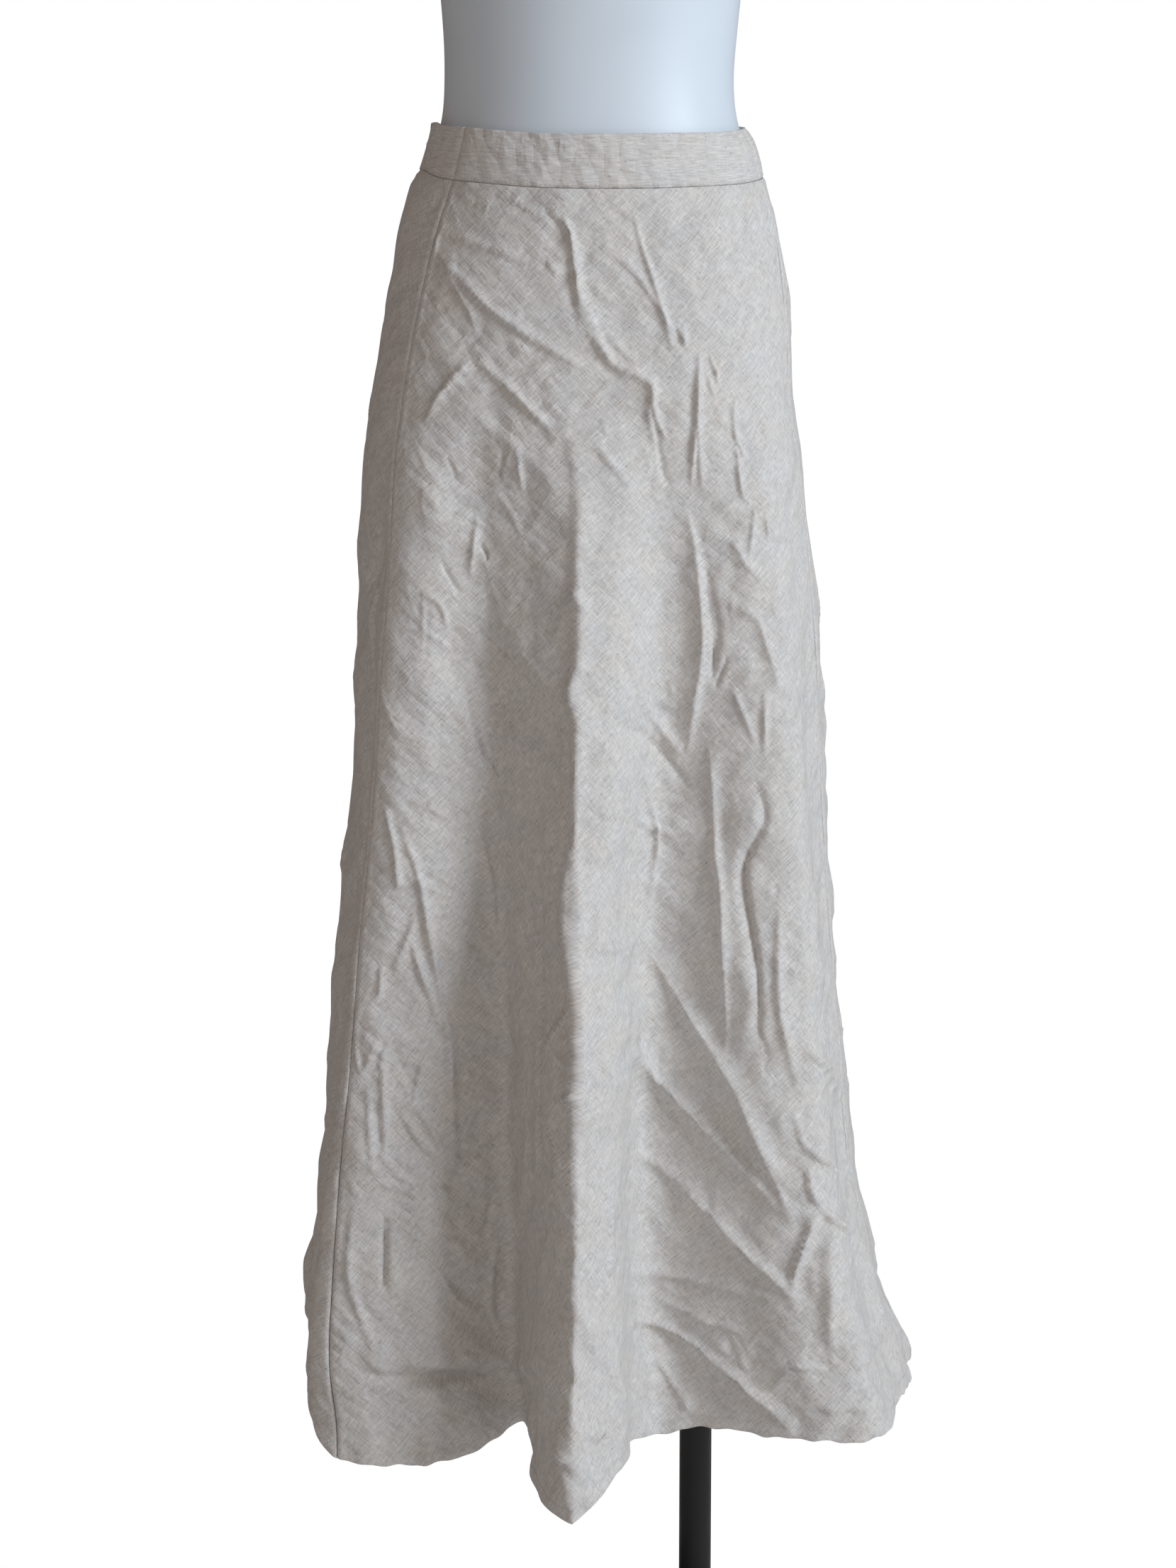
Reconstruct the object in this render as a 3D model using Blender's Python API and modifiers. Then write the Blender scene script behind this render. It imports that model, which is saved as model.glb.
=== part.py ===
"""A-line skirt of linen cloth, worn by a limbless dress form on an offset pole and a round base.

Metres, +Z up. The origin is on the floor, under the middle of the dress form. The skirt's front
faces -Y. An angle around the skirt is 0 at the front, +90 degrees at +X and -90 degrees at -X.
"""
import math

import bmesh
import bpy
from mathutils import Vector

# Cloth
CLOTH_WALL = 0.0015
SEAM_GAP = 0.0003
LEFT_SEAM_ANGLE = math.radians(-50.0)
RIGHT_SEAM_ANGLE = math.radians(74.0)
HEM_HEIGHT = 0.237

# Columns and rows of quads in each sewn piece
FRONT_COLUMNS = 56
FRONT_ROWS = 18
BACK_COLUMNS = 64
BACK_ROWS = 18
BAND_ROWS = 2

# Share of a piece taken by a narrow column along each seam, which keeps its wall square to the cloth
SEAM_COLUMN = 0.0035

# Elastic in the back of the waistband draws it into soft waves
GATHER_COUNT = 16
GATHER_DEPTH = 0.0040
GATHER_FADE = 0.16
GATHER_EDGE = 0.14
GATHER_RISE = 0.12
BAND_BACK_COLUMNS = GATHER_COUNT * 6

# Dress form, pole and base
POLE_X = 0.084
POLE_RADIUS = 0.0125
POLE_SIDES = 32
PIECE_GAP = 0.0003
FORM_COLUMNS = 40
BASE_RADIUS = 0.175
BASE_THICKNESS = 0.007
BASE_CHAMFER = 0.0015
COLLAR_RADIUS = 0.024
COLLAR_HEIGHT = 0.035
FLANGE_RADIUS = 0.034
FLANGE_THICKNESS = 0.006
SOCKET_RADIUS = 0.018
SOCKET_DEPTH = 0.045
CAP_RADIUS = 0.0505
CAP_HEIGHT = 0.014
TURN_STEPS = 48

# Half widths to the left and right, and depths to the front and back, of the plain rings of cloth.
# Square flattens the front of a ring, as over the hips: 0 is a round front, 1 a box.
# height, left, right, front, back, square
SECTIONS = (
    (1.204, 0.1140, 0.1105, 0.0870, 0.0800, 0.00),
    (1.188, 0.1172, 0.1212, 0.0890, 0.0830, 0.00),
    (1.164, 0.1245, 0.1285, 0.0925, 0.0880, 0.00),
    (1.126, 0.1366, 0.1405, 0.0990, 0.1000, 0.10),
    (1.085, 0.1459, 0.1459, 0.1060, 0.1130, 0.20),
    (1.043, 0.1541, 0.1494, 0.1120, 0.1250, 0.26),
    (1.002, 0.1615, 0.1510, 0.1165, 0.1340, 0.28),
    (0.960, 0.1660, 0.1580, 0.1200, 0.1410, 0.28),
    (0.875, 0.1685, 0.1680, 0.1260, 0.1490, 0.25),
    (0.790, 0.1743, 0.1753, 0.1320, 0.1560, 0.20),
    (0.703, 0.1790, 0.1800, 0.1385, 0.1625, 0.15),
    (0.616, 0.1888, 0.1868, 0.1455, 0.1700, 0.10),
    (0.527, 0.1958, 0.1945, 0.1530, 0.1780, 0.06),
    (0.438, 0.2055, 0.2020, 0.1605, 0.1860, 0.03),
    (0.370, 0.2116, 0.2165, 0.1665, 0.1920, 0.00),
    (0.302, 0.2138, 0.2330, 0.1725, 0.1975, 0.00),
    (0.256, 0.2055, 0.2510, 0.1765, 0.2005, 0.00),
    (0.212, 0.2045, 0.2490, 0.1800, 0.2030, 0.00),
)

# Heights of the waistband's top edge, of the seam under it and of the hem, around the skirt:
# angle, top, seam, hem
EDGES = (
    (-180.0, 1.2040, 1.1680, 0.258),
    (-125.0, 1.2030, 1.1680, 0.270),
    (-106.0, 1.2020, 1.1675, 0.282),
    (-90.0, 1.2015, 1.1670, 0.272),
    (-75.0, 1.2010, 1.1665, 0.267),
    (-68.0, 1.1990, 1.1640, 0.270),
    (-62.0, 1.1980, 1.1618, 0.271),
    (-58.0, 1.1972, 1.1604, 0.264),
    (-52.0, 1.1962, 1.1590, 0.237),
    (-45.0, 1.1950, 1.1575, 0.227),
    (-31.0, 1.1925, 1.1550, 0.230),
    (-24.0, 1.1915, 1.1535, 0.240),
    (-17.0, 1.1905, 1.1525, 0.247),
    (-3.0, 1.1900, 1.1515, 0.222),
    (3.0, 1.1900, 1.1515, 0.243),
    (9.0, 1.1900, 1.1515, 0.246),
    (15.0, 1.1902, 1.1517, 0.238),
    (22.0, 1.1905, 1.1520, 0.245),
    (50.0, 1.1925, 1.1550, 0.249),
    (57.0, 1.1935, 1.1560, 0.254),
    (64.0, 1.1945, 1.1575, 0.259),
    (76.0, 1.1965, 1.1600, 0.262),
    (84.0, 1.1980, 1.1620, 0.262),
    (125.0, 1.2020, 1.1670, 0.252),
)

# Folds that hang from the hips. Drift is how far round a fold has moved by the hem. Depth is
# outwards, or inwards where negative, at the hem. Swell is how far the sides of a fold stand out
# past its neck there, and sharp is 1 for a creased crest:
# angle, drift, left width, right width, start, growth, depth, swell, sharp
FOLDS = (
    (-104.0, 0.0, 10.0, 12.0, 0.400, 1.30, 0.030, 0.000, 0.0),
    (-66.0, 0.0, 16.0, 18.0, 0.600, 1.30, 0.018, 0.000, 0.0),
    (-45.0, -9.0, 13.0, 19.0, 0.990, 0.75, 0.043, 0.000, 0.0),
    (-20.0, 0.0, 17.0, 14.0, 1.012, 0.85, -0.060, 0.000, 0.1),
    (-1.0, -1.5, 9.0, 12.5, 0.997, 0.85, 0.064, 0.008, 0.4),
    (14.0, 2.0, 12.0, 23.0, 1.000, 0.80, -0.062, 0.008, 0.0),
    (47.0, 2.0, 18.0, 18.0, 0.990, 0.85, 0.040, 0.000, 0.1),
    (69.0, 0.0, 13.0, 16.0, 0.560, 1.60, 0.011, 0.000, 0.0),
    (112.0, 0.0, 16.0, 18.0, 0.932, 1.00, -0.026, 0.000, 0.0),
    (136.0, 0.0, 18.0, 16.0, 0.962, 0.90, 0.034, 0.000, 0.2),
    (160.0, 0.0, 16.0, 16.0, 0.942, 0.90, -0.034, 0.000, 0.0),
    (183.0, 0.0, 17.0, 18.0, 0.982, 0.85, 0.040, 0.000, 0.3),
    (207.0, 0.0, 16.0, 16.0, 0.942, 0.90, -0.032, 0.000, 0.0),
    (230.0, 0.0, 16.0, 16.0, 0.962, 0.95, 0.032, 0.000, 0.2),
)

# Half widths and depths of the dress form, which ends in a flat neck and a flat underside:
# height, left, right, front, back
FORM_SECTIONS = (
    (0.8420, 0.1280, 0.1270, 0.0700, 0.0800),
    (0.8460, 0.1390, 0.1380, 0.0800, 0.0920),
    (0.8620, 0.1510, 0.1480, 0.0900, 0.1050),
    (0.9020, 0.1590, 0.1515, 0.0980, 0.1180),
    (0.9600, 0.1622, 0.1540, 0.1040, 0.1250),
    (1.0020, 0.1574, 0.1470, 0.1060, 0.1220),
    (1.0430, 0.1503, 0.1456, 0.1050, 0.1130),
    (1.0850, 0.1422, 0.1422, 0.1010, 0.1020),
    (1.1260, 0.1332, 0.1370, 0.0945, 0.0920),
    (1.1570, 0.1244, 0.1284, 0.0890, 0.0835),
    (1.1820, 0.1140, 0.1170, 0.0850, 0.0780),
    (1.2040, 0.1072, 0.1092, 0.0820, 0.0750),
    (1.2320, 0.1050, 0.1066, 0.0805, 0.0745),
    (1.2690, 0.1058, 0.1092, 0.0820, 0.0760),
    (1.3220, 0.1110, 0.1150, 0.0890, 0.0800),
    (1.3820, 0.1220, 0.1240, 0.0985, 0.0860),
    (1.4420, 0.1340, 0.1350, 0.1100, 0.0930),
    (1.5020, 0.1460, 0.1465, 0.1060, 0.0980),
    (1.5520, 0.1560, 0.1560, 0.0900, 0.0970),
    (1.5920, 0.1570, 0.1570, 0.0740, 0.0870),
    (1.6170, 0.1400, 0.1400, 0.0650, 0.0760),
    (1.6350, 0.1050, 0.1050, 0.0580, 0.0660),
    (1.6520, 0.0700, 0.0700, 0.0530, 0.0570),
    (1.6820, 0.0530, 0.0530, 0.0500, 0.0510),
    (1.7220, 0.0500, 0.0500, 0.0480, 0.0490),
)

# Colours as linear red, green and blue
LINEN_COLOUR = (0.60, 0.56, 0.51)
FORM_COLOUR = (0.70, 0.74, 0.78)
BLACK_COLOUR = (0.012, 0.012, 0.013)


def sample(rows, key):
    """The row of a table at a key between its rows, on a smooth curve through them."""
    ordered = sorted(rows)
    if key <= ordered[0][0]:
        return ordered[0][1:]
    if key >= ordered[-1][0]:
        return ordered[-1][1:]
    upper = next(index for index, row in enumerate(ordered) if row[0] > key)
    last = len(ordered) - 1
    before, start = ordered[max(upper - 2, 0)], ordered[upper - 1]
    end, after = ordered[upper], ordered[min(upper + 1, last)]
    step = end[0] - start[0]
    share = (key - start[0]) / step
    values = []
    for column in range(1, len(start)):
        start_slope = (end[column] - before[column]) / (end[0] - before[0]) * step
        end_slope = (after[column] - start[column]) / (after[0] - start[0]) * step
        value = (2 * share**3 - 3 * share**2 + 1) * start[column]
        value += (share**3 - 2 * share**2 + share) * start_slope
        value += (3 * share**2 - 2 * share**3) * end[column]
        value += (share**3 - share**2) * end_slope
        values.append(value)
    return values


def edge_heights(angle):
    """Heights of the top edge, the waist seam and the hem at an angle around the skirt."""
    rows = [(row[0] + turn, *row[1:]) for turn in (0.0, 360.0, 720.0) for row in EDGES]
    return sample(rows, math.degrees(angle) % 360.0 + 360.0)


def ring_point(row, angle):
    """A point and its outward direction on a ring of four quarter ellipses, with a square front."""
    left, right, front, back, square = row
    across, forward = math.sin(angle), math.cos(angle)
    width = right if across >= 0.0 else left
    depth = front if forward >= 0.0 else back
    square = square if forward >= 0.0 else 0.0
    place_x = math.copysign(abs(across) ** (1.0 - square), across)
    place_y = math.copysign(abs(forward) ** (1.0 - square), forward)
    slope_x = math.copysign(abs(across) ** (1.0 + square), across)
    slope_y = math.copysign(abs(forward) ** (1.0 + square), forward)
    point = Vector((width * place_x, -depth * place_y, 0.0))
    outward = Vector((slope_x / width, -slope_y / depth, 0.0)).normalized()
    return point, outward


def fold_offset(angle, height):
    """How far the folds move the cloth outwards and sideways at an angle and a height."""
    outwards = 0.0
    sideways = 0.0
    for centre, drift, left_width, right_width, start, growth, depth, swell, sharp in FOLDS:
        if height >= start:
            continue
        fall = min((start - height) / (start - HEM_HEIGHT), 1.1)
        turn = (math.degrees(angle) - centre - drift * fall + 180.0) % 360.0 - 180.0
        across = turn / (right_width if turn > 0.0 else left_width)
        if abs(across) >= 1.0:
            continue
        soft = math.cos(across * math.pi / 2) ** 2
        creased = (1.0 - abs(across)) ** 2
        outwards += depth * fall**growth * (soft * (1.0 - sharp) + creased * sharp)
        sideways += swell * fall**3 * math.sin(across * math.pi)
    return outwards, sideways


def gather_offset(angle, below_seam):
    """The waves that the elastic draws into the back, fading down from the waist seam."""
    back_span = 2 * math.pi - (RIGHT_SEAM_ANGLE - LEFT_SEAM_ANGLE)
    turn = (angle - RIGHT_SEAM_ANGLE) % (2 * math.pi)
    if turn >= back_span:
        return 0.0
    share = turn / back_span
    fade = max(0.0, 1.0 - max(below_seam, 0.0) / GATHER_FADE) ** 1.5
    rise = min(max((min(share, 1.0 - share) - GATHER_EDGE) / GATHER_RISE, 0.0), 1.0)
    wave = 0.5 - 0.5 * math.cos(share * GATHER_COUNT * 2 * math.pi)
    return GATHER_DEPTH * fade * rise * wave


def cloth_point(angle, height):
    """A point on the outside of the cloth."""
    _, seam, _ = edge_heights(angle)
    point, outward = ring_point(sample(SECTIONS, height), angle)
    outwards, sideways = fold_offset(angle, height)
    outwards += gather_offset(angle, seam - height)
    along = Vector((-outward.y, outward.x, 0.0))
    point += outward * outwards + along * sideways
    point.z = height
    return point


def panel_angle(share, start, end, height):
    """An angle across a panel, kept half a seam gap in from both of its seams."""
    half_gap = SEAM_GAP / 2 / sample(SECTIONS, height)[0]
    return start + half_gap + (end - start - 2 * half_gap) * share


def skirt_point(share, fall, start, end):
    """A point on a skirt panel, from one seam to the other and from the waist seam to the hem."""
    _, seam, hem = edge_heights(start + (end - start) * share)
    height = seam - SEAM_GAP / 2 + (hem - seam + SEAM_GAP / 2) * fall
    return cloth_point(panel_angle(share, start, end, height), height)


def band_point(share, fall, start, end):
    """A point on a waistband piece, from one seam to the other and from its top edge down."""
    top, seam, _ = edge_heights(start + (end - start) * share)
    height = top + (seam + SEAM_GAP / 2 - top) * fall
    return cloth_point(panel_angle(share, start, end, height), height)


def make_material(name, colour, roughness, metallic=0.0):
    """A plain Principled material."""
    material = bpy.data.materials.new(name)
    material.use_nodes = True
    shader = material.node_tree.nodes["Principled BSDF"]
    shader.inputs["Base Color"].default_value = (*colour, 1.0)
    shader.inputs["Roughness"].default_value = roughness
    shader.inputs["Metallic"].default_value = metallic
    material.diffuse_color = (*colour, 1.0)
    return material


def add_object(name, mesh, material, collection):
    """An object for one piece, with its material, in the collection."""
    piece = bpy.data.objects.new(name, mesh)
    mesh.materials.append(material)
    collection.objects.link(piece)
    return piece


def shade_round(mesh, sharp_angle=40.0):
    """Smooth shading with the sharp edges kept."""
    mesh.shade_smooth()
    mesh.set_sharp_from_angle(angle=math.radians(sharp_angle))


def make_cloth(name, place, start, end, columns, rows, material, collection):
    """One sewn piece: an open sheet with its thickness on the inside."""
    shape = bmesh.new()
    inner_shares = [column / columns for column in range(1, columns)]
    shares = [0.0, SEAM_COLUMN, *inner_shares, 1.0 - SEAM_COLUMN, 1.0]
    grid = []
    for row in range(rows + 1):
        line = [shape.verts.new(place(share, row / rows, start, end)) for share in shares]
        grid.append(line)
    for upper, lower in zip(grid, grid[1:]):
        for column in range(len(shares) - 1):
            shape.faces.new((upper[column], lower[column], lower[column + 1], upper[column + 1]))
    mesh = bpy.data.meshes.new(name)
    shape.to_mesh(mesh)
    shape.free()
    mesh.shade_smooth()
    piece = add_object(name, mesh, material, collection)
    wall = piece.modifiers.new("cloth wall", "SOLIDIFY")
    wall.thickness = CLOTH_WALL
    wall.offset = -1.0
    wall.use_even_offset = True
    return piece


def make_form(material, collection):
    """The torso, lofted through its rings and closed flat at the neck and underneath."""
    shape = bmesh.new()
    rings = []
    for height, *row in FORM_SECTIONS:
        ring = []
        for column in range(FORM_COLUMNS):
            point, _ = ring_point((*row, 0.0), 2 * math.pi * column / FORM_COLUMNS)
            ring.append(shape.verts.new((point.x, point.y, height)))
        rings.append(ring)
    for lower, upper in zip(rings, rings[1:]):
        for column in range(FORM_COLUMNS):
            beside = (column + 1) % FORM_COLUMNS
            shape.faces.new((lower[column], lower[beside], upper[beside], upper[column]))
    shape.faces.new(rings[-1])
    shape.faces.new(rings[0][::-1])
    mesh = bpy.data.meshes.new("form_torso")
    shape.to_mesh(mesh)
    shape.free()
    shade_round(mesh)
    return add_object("form_torso", mesh, material, collection)


def make_turned(name, profile, closed, location, material, collection):
    """A turned piece from the profile of its outer side, top to bottom."""
    mesh = bpy.data.meshes.new(name)
    edges = [(index, index + 1) for index in range(len(profile) - 1)]
    if closed:
        edges.append((len(profile) - 1, 0))
    mesh.from_pydata([(radius, 0.0, height) for radius, height in profile], edges, [])
    piece = add_object(name, mesh, material, collection)
    piece.location = location
    turn = piece.modifiers.new("turn", "SCREW")
    turn.axis = "Z"
    turn.steps = TURN_STEPS
    turn.render_steps = TURN_STEPS
    turn.use_merge_vertices = True
    turn.merge_threshold = 0.00001
    turn.use_smooth_shade = True
    return piece


def make_neck_cap(material, collection):
    """A plain low dome that closes the neck."""
    arc_points = 6
    profile = []
    for index in range(arc_points + 1):
        turn = math.pi / 2 * index / arc_points
        profile.append((CAP_RADIUS * math.sin(turn), CAP_HEIGHT * (0.35 + 0.65 * math.cos(turn))))
    profile += [(CAP_RADIUS, 0.0), (0.0, 0.0)]
    neck_height = FORM_SECTIONS[-1][0] + PIECE_GAP
    return make_turned("neck_cap", profile, False, (0.0, 0.0, neck_height), material, collection)


def make_base_plate(material, collection):
    """The round steel plate that the part stands on."""
    rim = BASE_RADIUS - BASE_CHAMFER
    profile = [
        (0.0, BASE_THICKNESS),
        (rim, BASE_THICKNESS),
        (BASE_RADIUS, BASE_THICKNESS - BASE_CHAMFER),
        (BASE_RADIUS, 0.0),
        (0.0, 0.0),
    ]
    return make_turned("base_plate", profile, False, (0.0, 0.0, 0.0), material, collection)


def make_base_collar(material, collection):
    """The turned collar that holds the foot of the pole on the plate."""
    bore = POLE_RADIUS + PIECE_GAP
    neck = POLE_RADIUS + 0.004
    shoulder = COLLAR_HEIGHT * 0.3
    profile = [
        (bore, COLLAR_HEIGHT),
        (neck, COLLAR_HEIGHT),
        (neck, shoulder + 0.004),
        (neck + 0.002, shoulder),
        (COLLAR_RADIUS, shoulder * 0.6),
        (COLLAR_RADIUS, 0.0),
        (bore, 0.0),
    ]
    location = (POLE_X, 0.0, BASE_THICKNESS + PIECE_GAP)
    return make_turned("base_collar", profile, True, location, material, collection)


def make_form_socket(material, collection):
    """The flanged cup under the form that the top of the pole fits into."""
    bore = POLE_RADIUS + PIECE_GAP
    profile = [
        (0.0, 0.0),
        (FLANGE_RADIUS, 0.0),
        (FLANGE_RADIUS, -FLANGE_THICKNESS),
        (SOCKET_RADIUS, -FLANGE_THICKNESS - 0.002),
        (SOCKET_RADIUS, -SOCKET_DEPTH),
        (bore, -SOCKET_DEPTH),
        (bore, -FLANGE_THICKNESS),
        (0.0, -FLANGE_THICKNESS),
    ]
    location = (POLE_X, 0.0, FORM_SECTIONS[0][0] - PIECE_GAP)
    return make_turned("form_socket", profile, False, location, material, collection)


def make_pole(material, collection):
    """The straight black pole, from the plate up into the socket."""
    foot = BASE_THICKNESS + PIECE_GAP
    head = FORM_SECTIONS[0][0] - FLANGE_THICKNESS - 2 * PIECE_GAP
    shape = bmesh.new()
    bmesh.ops.create_cone(
        shape,
        cap_ends=True,
        segments=POLE_SIDES,
        radius1=POLE_RADIUS,
        radius2=POLE_RADIUS,
        depth=head - foot,
    )
    mesh = bpy.data.meshes.new("pole")
    shape.to_mesh(mesh)
    shape.free()
    shade_round(mesh)
    piece = add_object("pole", mesh, material, collection)
    piece.location = (POLE_X, 0.0, (head + foot) / 2)
    return piece


def clear_scene():
    """Removes the objects that the scene starts with."""
    for item in list(bpy.data.objects):
        bpy.data.objects.remove(item, do_unlink=True)


def main():
    """Builds the skirt, the dress form and its stand."""
    clear_scene()
    collection = bpy.data.collections.new("a_line_skirt_on_dress_form")
    bpy.context.scene.collection.children.link(collection)
    linen = make_material("oatmeal linen", LINEN_COLOUR, 0.9)
    form_white = make_material("white form shell", FORM_COLOUR, 0.45)
    black_steel = make_material("black painted steel", BLACK_COLOUR, 0.4)
    front_span = (LEFT_SEAM_ANGLE, RIGHT_SEAM_ANGLE)
    back_span = (RIGHT_SEAM_ANGLE, LEFT_SEAM_ANGLE + 2 * math.pi)
    make_cloth("skirt_front", skirt_point, *front_span, FRONT_COLUMNS, FRONT_ROWS, linen, collection)
    make_cloth("skirt_back", skirt_point, *back_span, BACK_COLUMNS, BACK_ROWS, linen, collection)
    make_cloth("waistband_front", band_point, *front_span, FRONT_COLUMNS, BAND_ROWS, linen, collection)
    make_cloth("waistband_back", band_point, *back_span, BAND_BACK_COLUMNS, BAND_ROWS, linen, collection)
    make_form(form_white, collection)
    make_neck_cap(form_white, collection)
    make_form_socket(black_steel, collection)
    make_pole(black_steel, collection)
    make_base_collar(black_steel, collection)
    make_base_plate(black_steel, collection)


main()
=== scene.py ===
"""A-line skirt of oatmeal linen on a limbless dress form, with an offset pole and a round base.

Metres, +Z up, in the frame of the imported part. The skirt's front faces -Y. An angle around the
skirt is 0 at the front, +90 degrees at +X and -90 degrees at -X. A sewn panel's flat coordinates
are millimetres across from its middle column, towards the viewer's right at the front, and
millimetres down from the waist seam.
"""
import math

import bmesh
import bpy
import numpy as np
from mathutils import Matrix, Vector


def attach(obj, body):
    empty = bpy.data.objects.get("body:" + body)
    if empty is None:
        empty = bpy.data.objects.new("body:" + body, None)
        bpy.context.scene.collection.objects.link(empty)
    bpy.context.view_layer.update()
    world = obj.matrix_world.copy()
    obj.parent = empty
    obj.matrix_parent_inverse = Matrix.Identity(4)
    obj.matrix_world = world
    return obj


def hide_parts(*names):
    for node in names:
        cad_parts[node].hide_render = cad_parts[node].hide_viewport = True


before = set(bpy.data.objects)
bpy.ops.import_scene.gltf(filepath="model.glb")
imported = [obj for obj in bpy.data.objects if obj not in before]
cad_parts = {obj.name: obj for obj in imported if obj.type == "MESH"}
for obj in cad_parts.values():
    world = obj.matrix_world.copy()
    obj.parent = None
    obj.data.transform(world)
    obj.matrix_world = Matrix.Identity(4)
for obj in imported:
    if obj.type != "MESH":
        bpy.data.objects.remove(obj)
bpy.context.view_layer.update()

# Cloth sizes, as in the part
SEAM_GAP = 0.0003
LEFT_SEAM_ANGLE = math.radians(-50.0)
RIGHT_SEAM_ANGLE = math.radians(74.0)
FRONT_SPAN = (LEFT_SEAM_ANGLE, RIGHT_SEAM_ANGLE)
BACK_SPAN = (RIGHT_SEAM_ANGLE, LEFT_SEAM_ANGLE + 2 * math.pi)
HEM_HEIGHT = 0.237

# Elastic in the back of the waistband draws it into soft waves
GATHER_COUNT = 16
GATHER_DEPTH = 0.0040
GATHER_FADE = 0.16
GATHER_EDGE = 0.14
GATHER_RISE = 0.12

# Sewing details
HEM_TURN = 0.0007
HEM_DEPTH = 0.008
HEM_EXTRA = 0.0003
HEM_WOBBLE = 0.0005
# Waves of the hem's edge: radians of wave for each radian around the skirt, shift
HEM_WAVES = ((31.0, 0.0), (53.0, 1.0), (97.0, 2.0))
SEAM_DITCH = 0.0005
SEAM_DITCH_WIDTH = 0.0020
ALLOWANCE_GAP = 0.00045
BAND_THICKNESS = 0.0020
STITCH_PITCH = 0.0032
STITCH_LENGTH = 0.0024
THREAD_RADIUS = 0.00022
STITCH_UNEVENNESS = 0.12
STITCH_CLEAR_COLUMNS = 3
ALLOWANCE_WIDTH = 0.008
# How far an allowance that is pressed under the next piece reaches past the seam, and drops behind it
PRESSED_STEPS = ((0.0, 0.0), (0.002, 0.0004), (0.0045, 0.0011))
PUCKER_AT_WAIST = 0.00035
PUCKER_AT_HEM = 0.00080
SEAM_CALM = 0.030
SEAM_RIDGE = 0.0004
SEAM_RIDGE_PLACE = 0.0035
SEAM_RIDGE_WIDTH = 0.0018

# Numbers of small creases, of columns, and seeds of the random draws
FRONT_SMALL_CREASES = 190
BACK_SMALL_CREASES = 260
FRONT_SEED = 11
BACK_SEED = 29
BAND_FRONT_COLUMNS = 300
BAND_BACK_COLUMNS = 420
BAND_FRONT_SEED = 5
BAND_BACK_SEED = 8
STITCH_SEED = 4

# Short random creases: headings in degrees, lengths, heights and widths in millimetres
SMALL_HEADINGS = (-52.0, 48.0, 80.0)
SMALL_HEADING_SPREAD = 16.0
SMALL_LENGTHS = (14.0, 52.0)
SMALL_HEIGHTS = (0.4, 1.3)
SMALL_WIDTHS = (3.2, 7.5)
SMALL_SHARP = 0.8

# Waistband
BAND_ROWS = 22
BAND_CRUMPLE = 0.22
BAND_CALM = 0.006
BAND_DITCH = 0.0007
BAND_PADDING = 0.0005
BAND_CLOSING = 0.0007
BAND_END = 0.0006
# Flat lengths above the top edge: to the inner layer, and to the two ends of the rounded fold
BAND_INNER_LENGTH = 0.0036
BAND_FOLD_LENGTHS = (0.0030, 0.0006)

# Creases in the waistband: heights in millimetres, other sizes in metres
BAND_CREASE_COUNT_FRONT = 20
BAND_CREASE_COUNT_BACK = 26
BAND_CREASE_LEVELS = (0.006, 0.032)
BAND_CREASE_LENGTHS = (0.015, 0.075)
BAND_CREASE_HEIGHTS = (0.2, 0.5)
BAND_PUCKER_COUNT = 26
BAND_PUCKER_LENGTHS = (0.006, 0.016)
BAND_PUCKER_HEIGHTS = (0.1, 0.35)

# Stand, as in the part
POLE_X = 0.084
POLE_RADIUS = 0.0125
PIECE_GAP = 0.0003
BASE_RADIUS = 0.175
BASE_THICKNESS = 0.007
BASE_CHAMFER = 0.0015
COLLAR_RADIUS = 0.024
COLLAR_HEIGHT = 0.035
FLANGE_RADIUS = 0.034
FLANGE_THICKNESS = 0.006
SOCKET_RADIUS = 0.018
SOCKET_DEPTH = 0.045
CAP_RADIUS = 0.0505
CAP_HEIGHT = 0.014
FORM_COLUMNS = 128
FORM_MEAN_RADIUS = 0.13

# The photograph's view: its height and lens in pixels, the lens's place, and how far it looks down
PHOTO_HEIGHT = 2212.0
LENS_PIXELS = 4528.0
LENS_DISTANCE = 2.40
LENS_HEIGHT = 1.085
LENS_DROP = 706.0

# Lights: name, place, width, height, power in watts, colour
LIGHTS = (
    ("window light", (3.90, -2.50, 2.75), 1.8, 1.8, 205.0, (0.80, 0.90, 1.0)),
    ("front fill", (-0.6, -3.6, 1.6), 2.0, 1.6, 15.0, (0.98, 0.98, 1.0)),
)
LIGHT_AIM = (0.0, 0.0, 0.75)
FLOOR_REACH = 6.0

# Quads across and down each panel
FRONT_GRID = (250, 368)
BACK_GRID = (280, 330)

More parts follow.
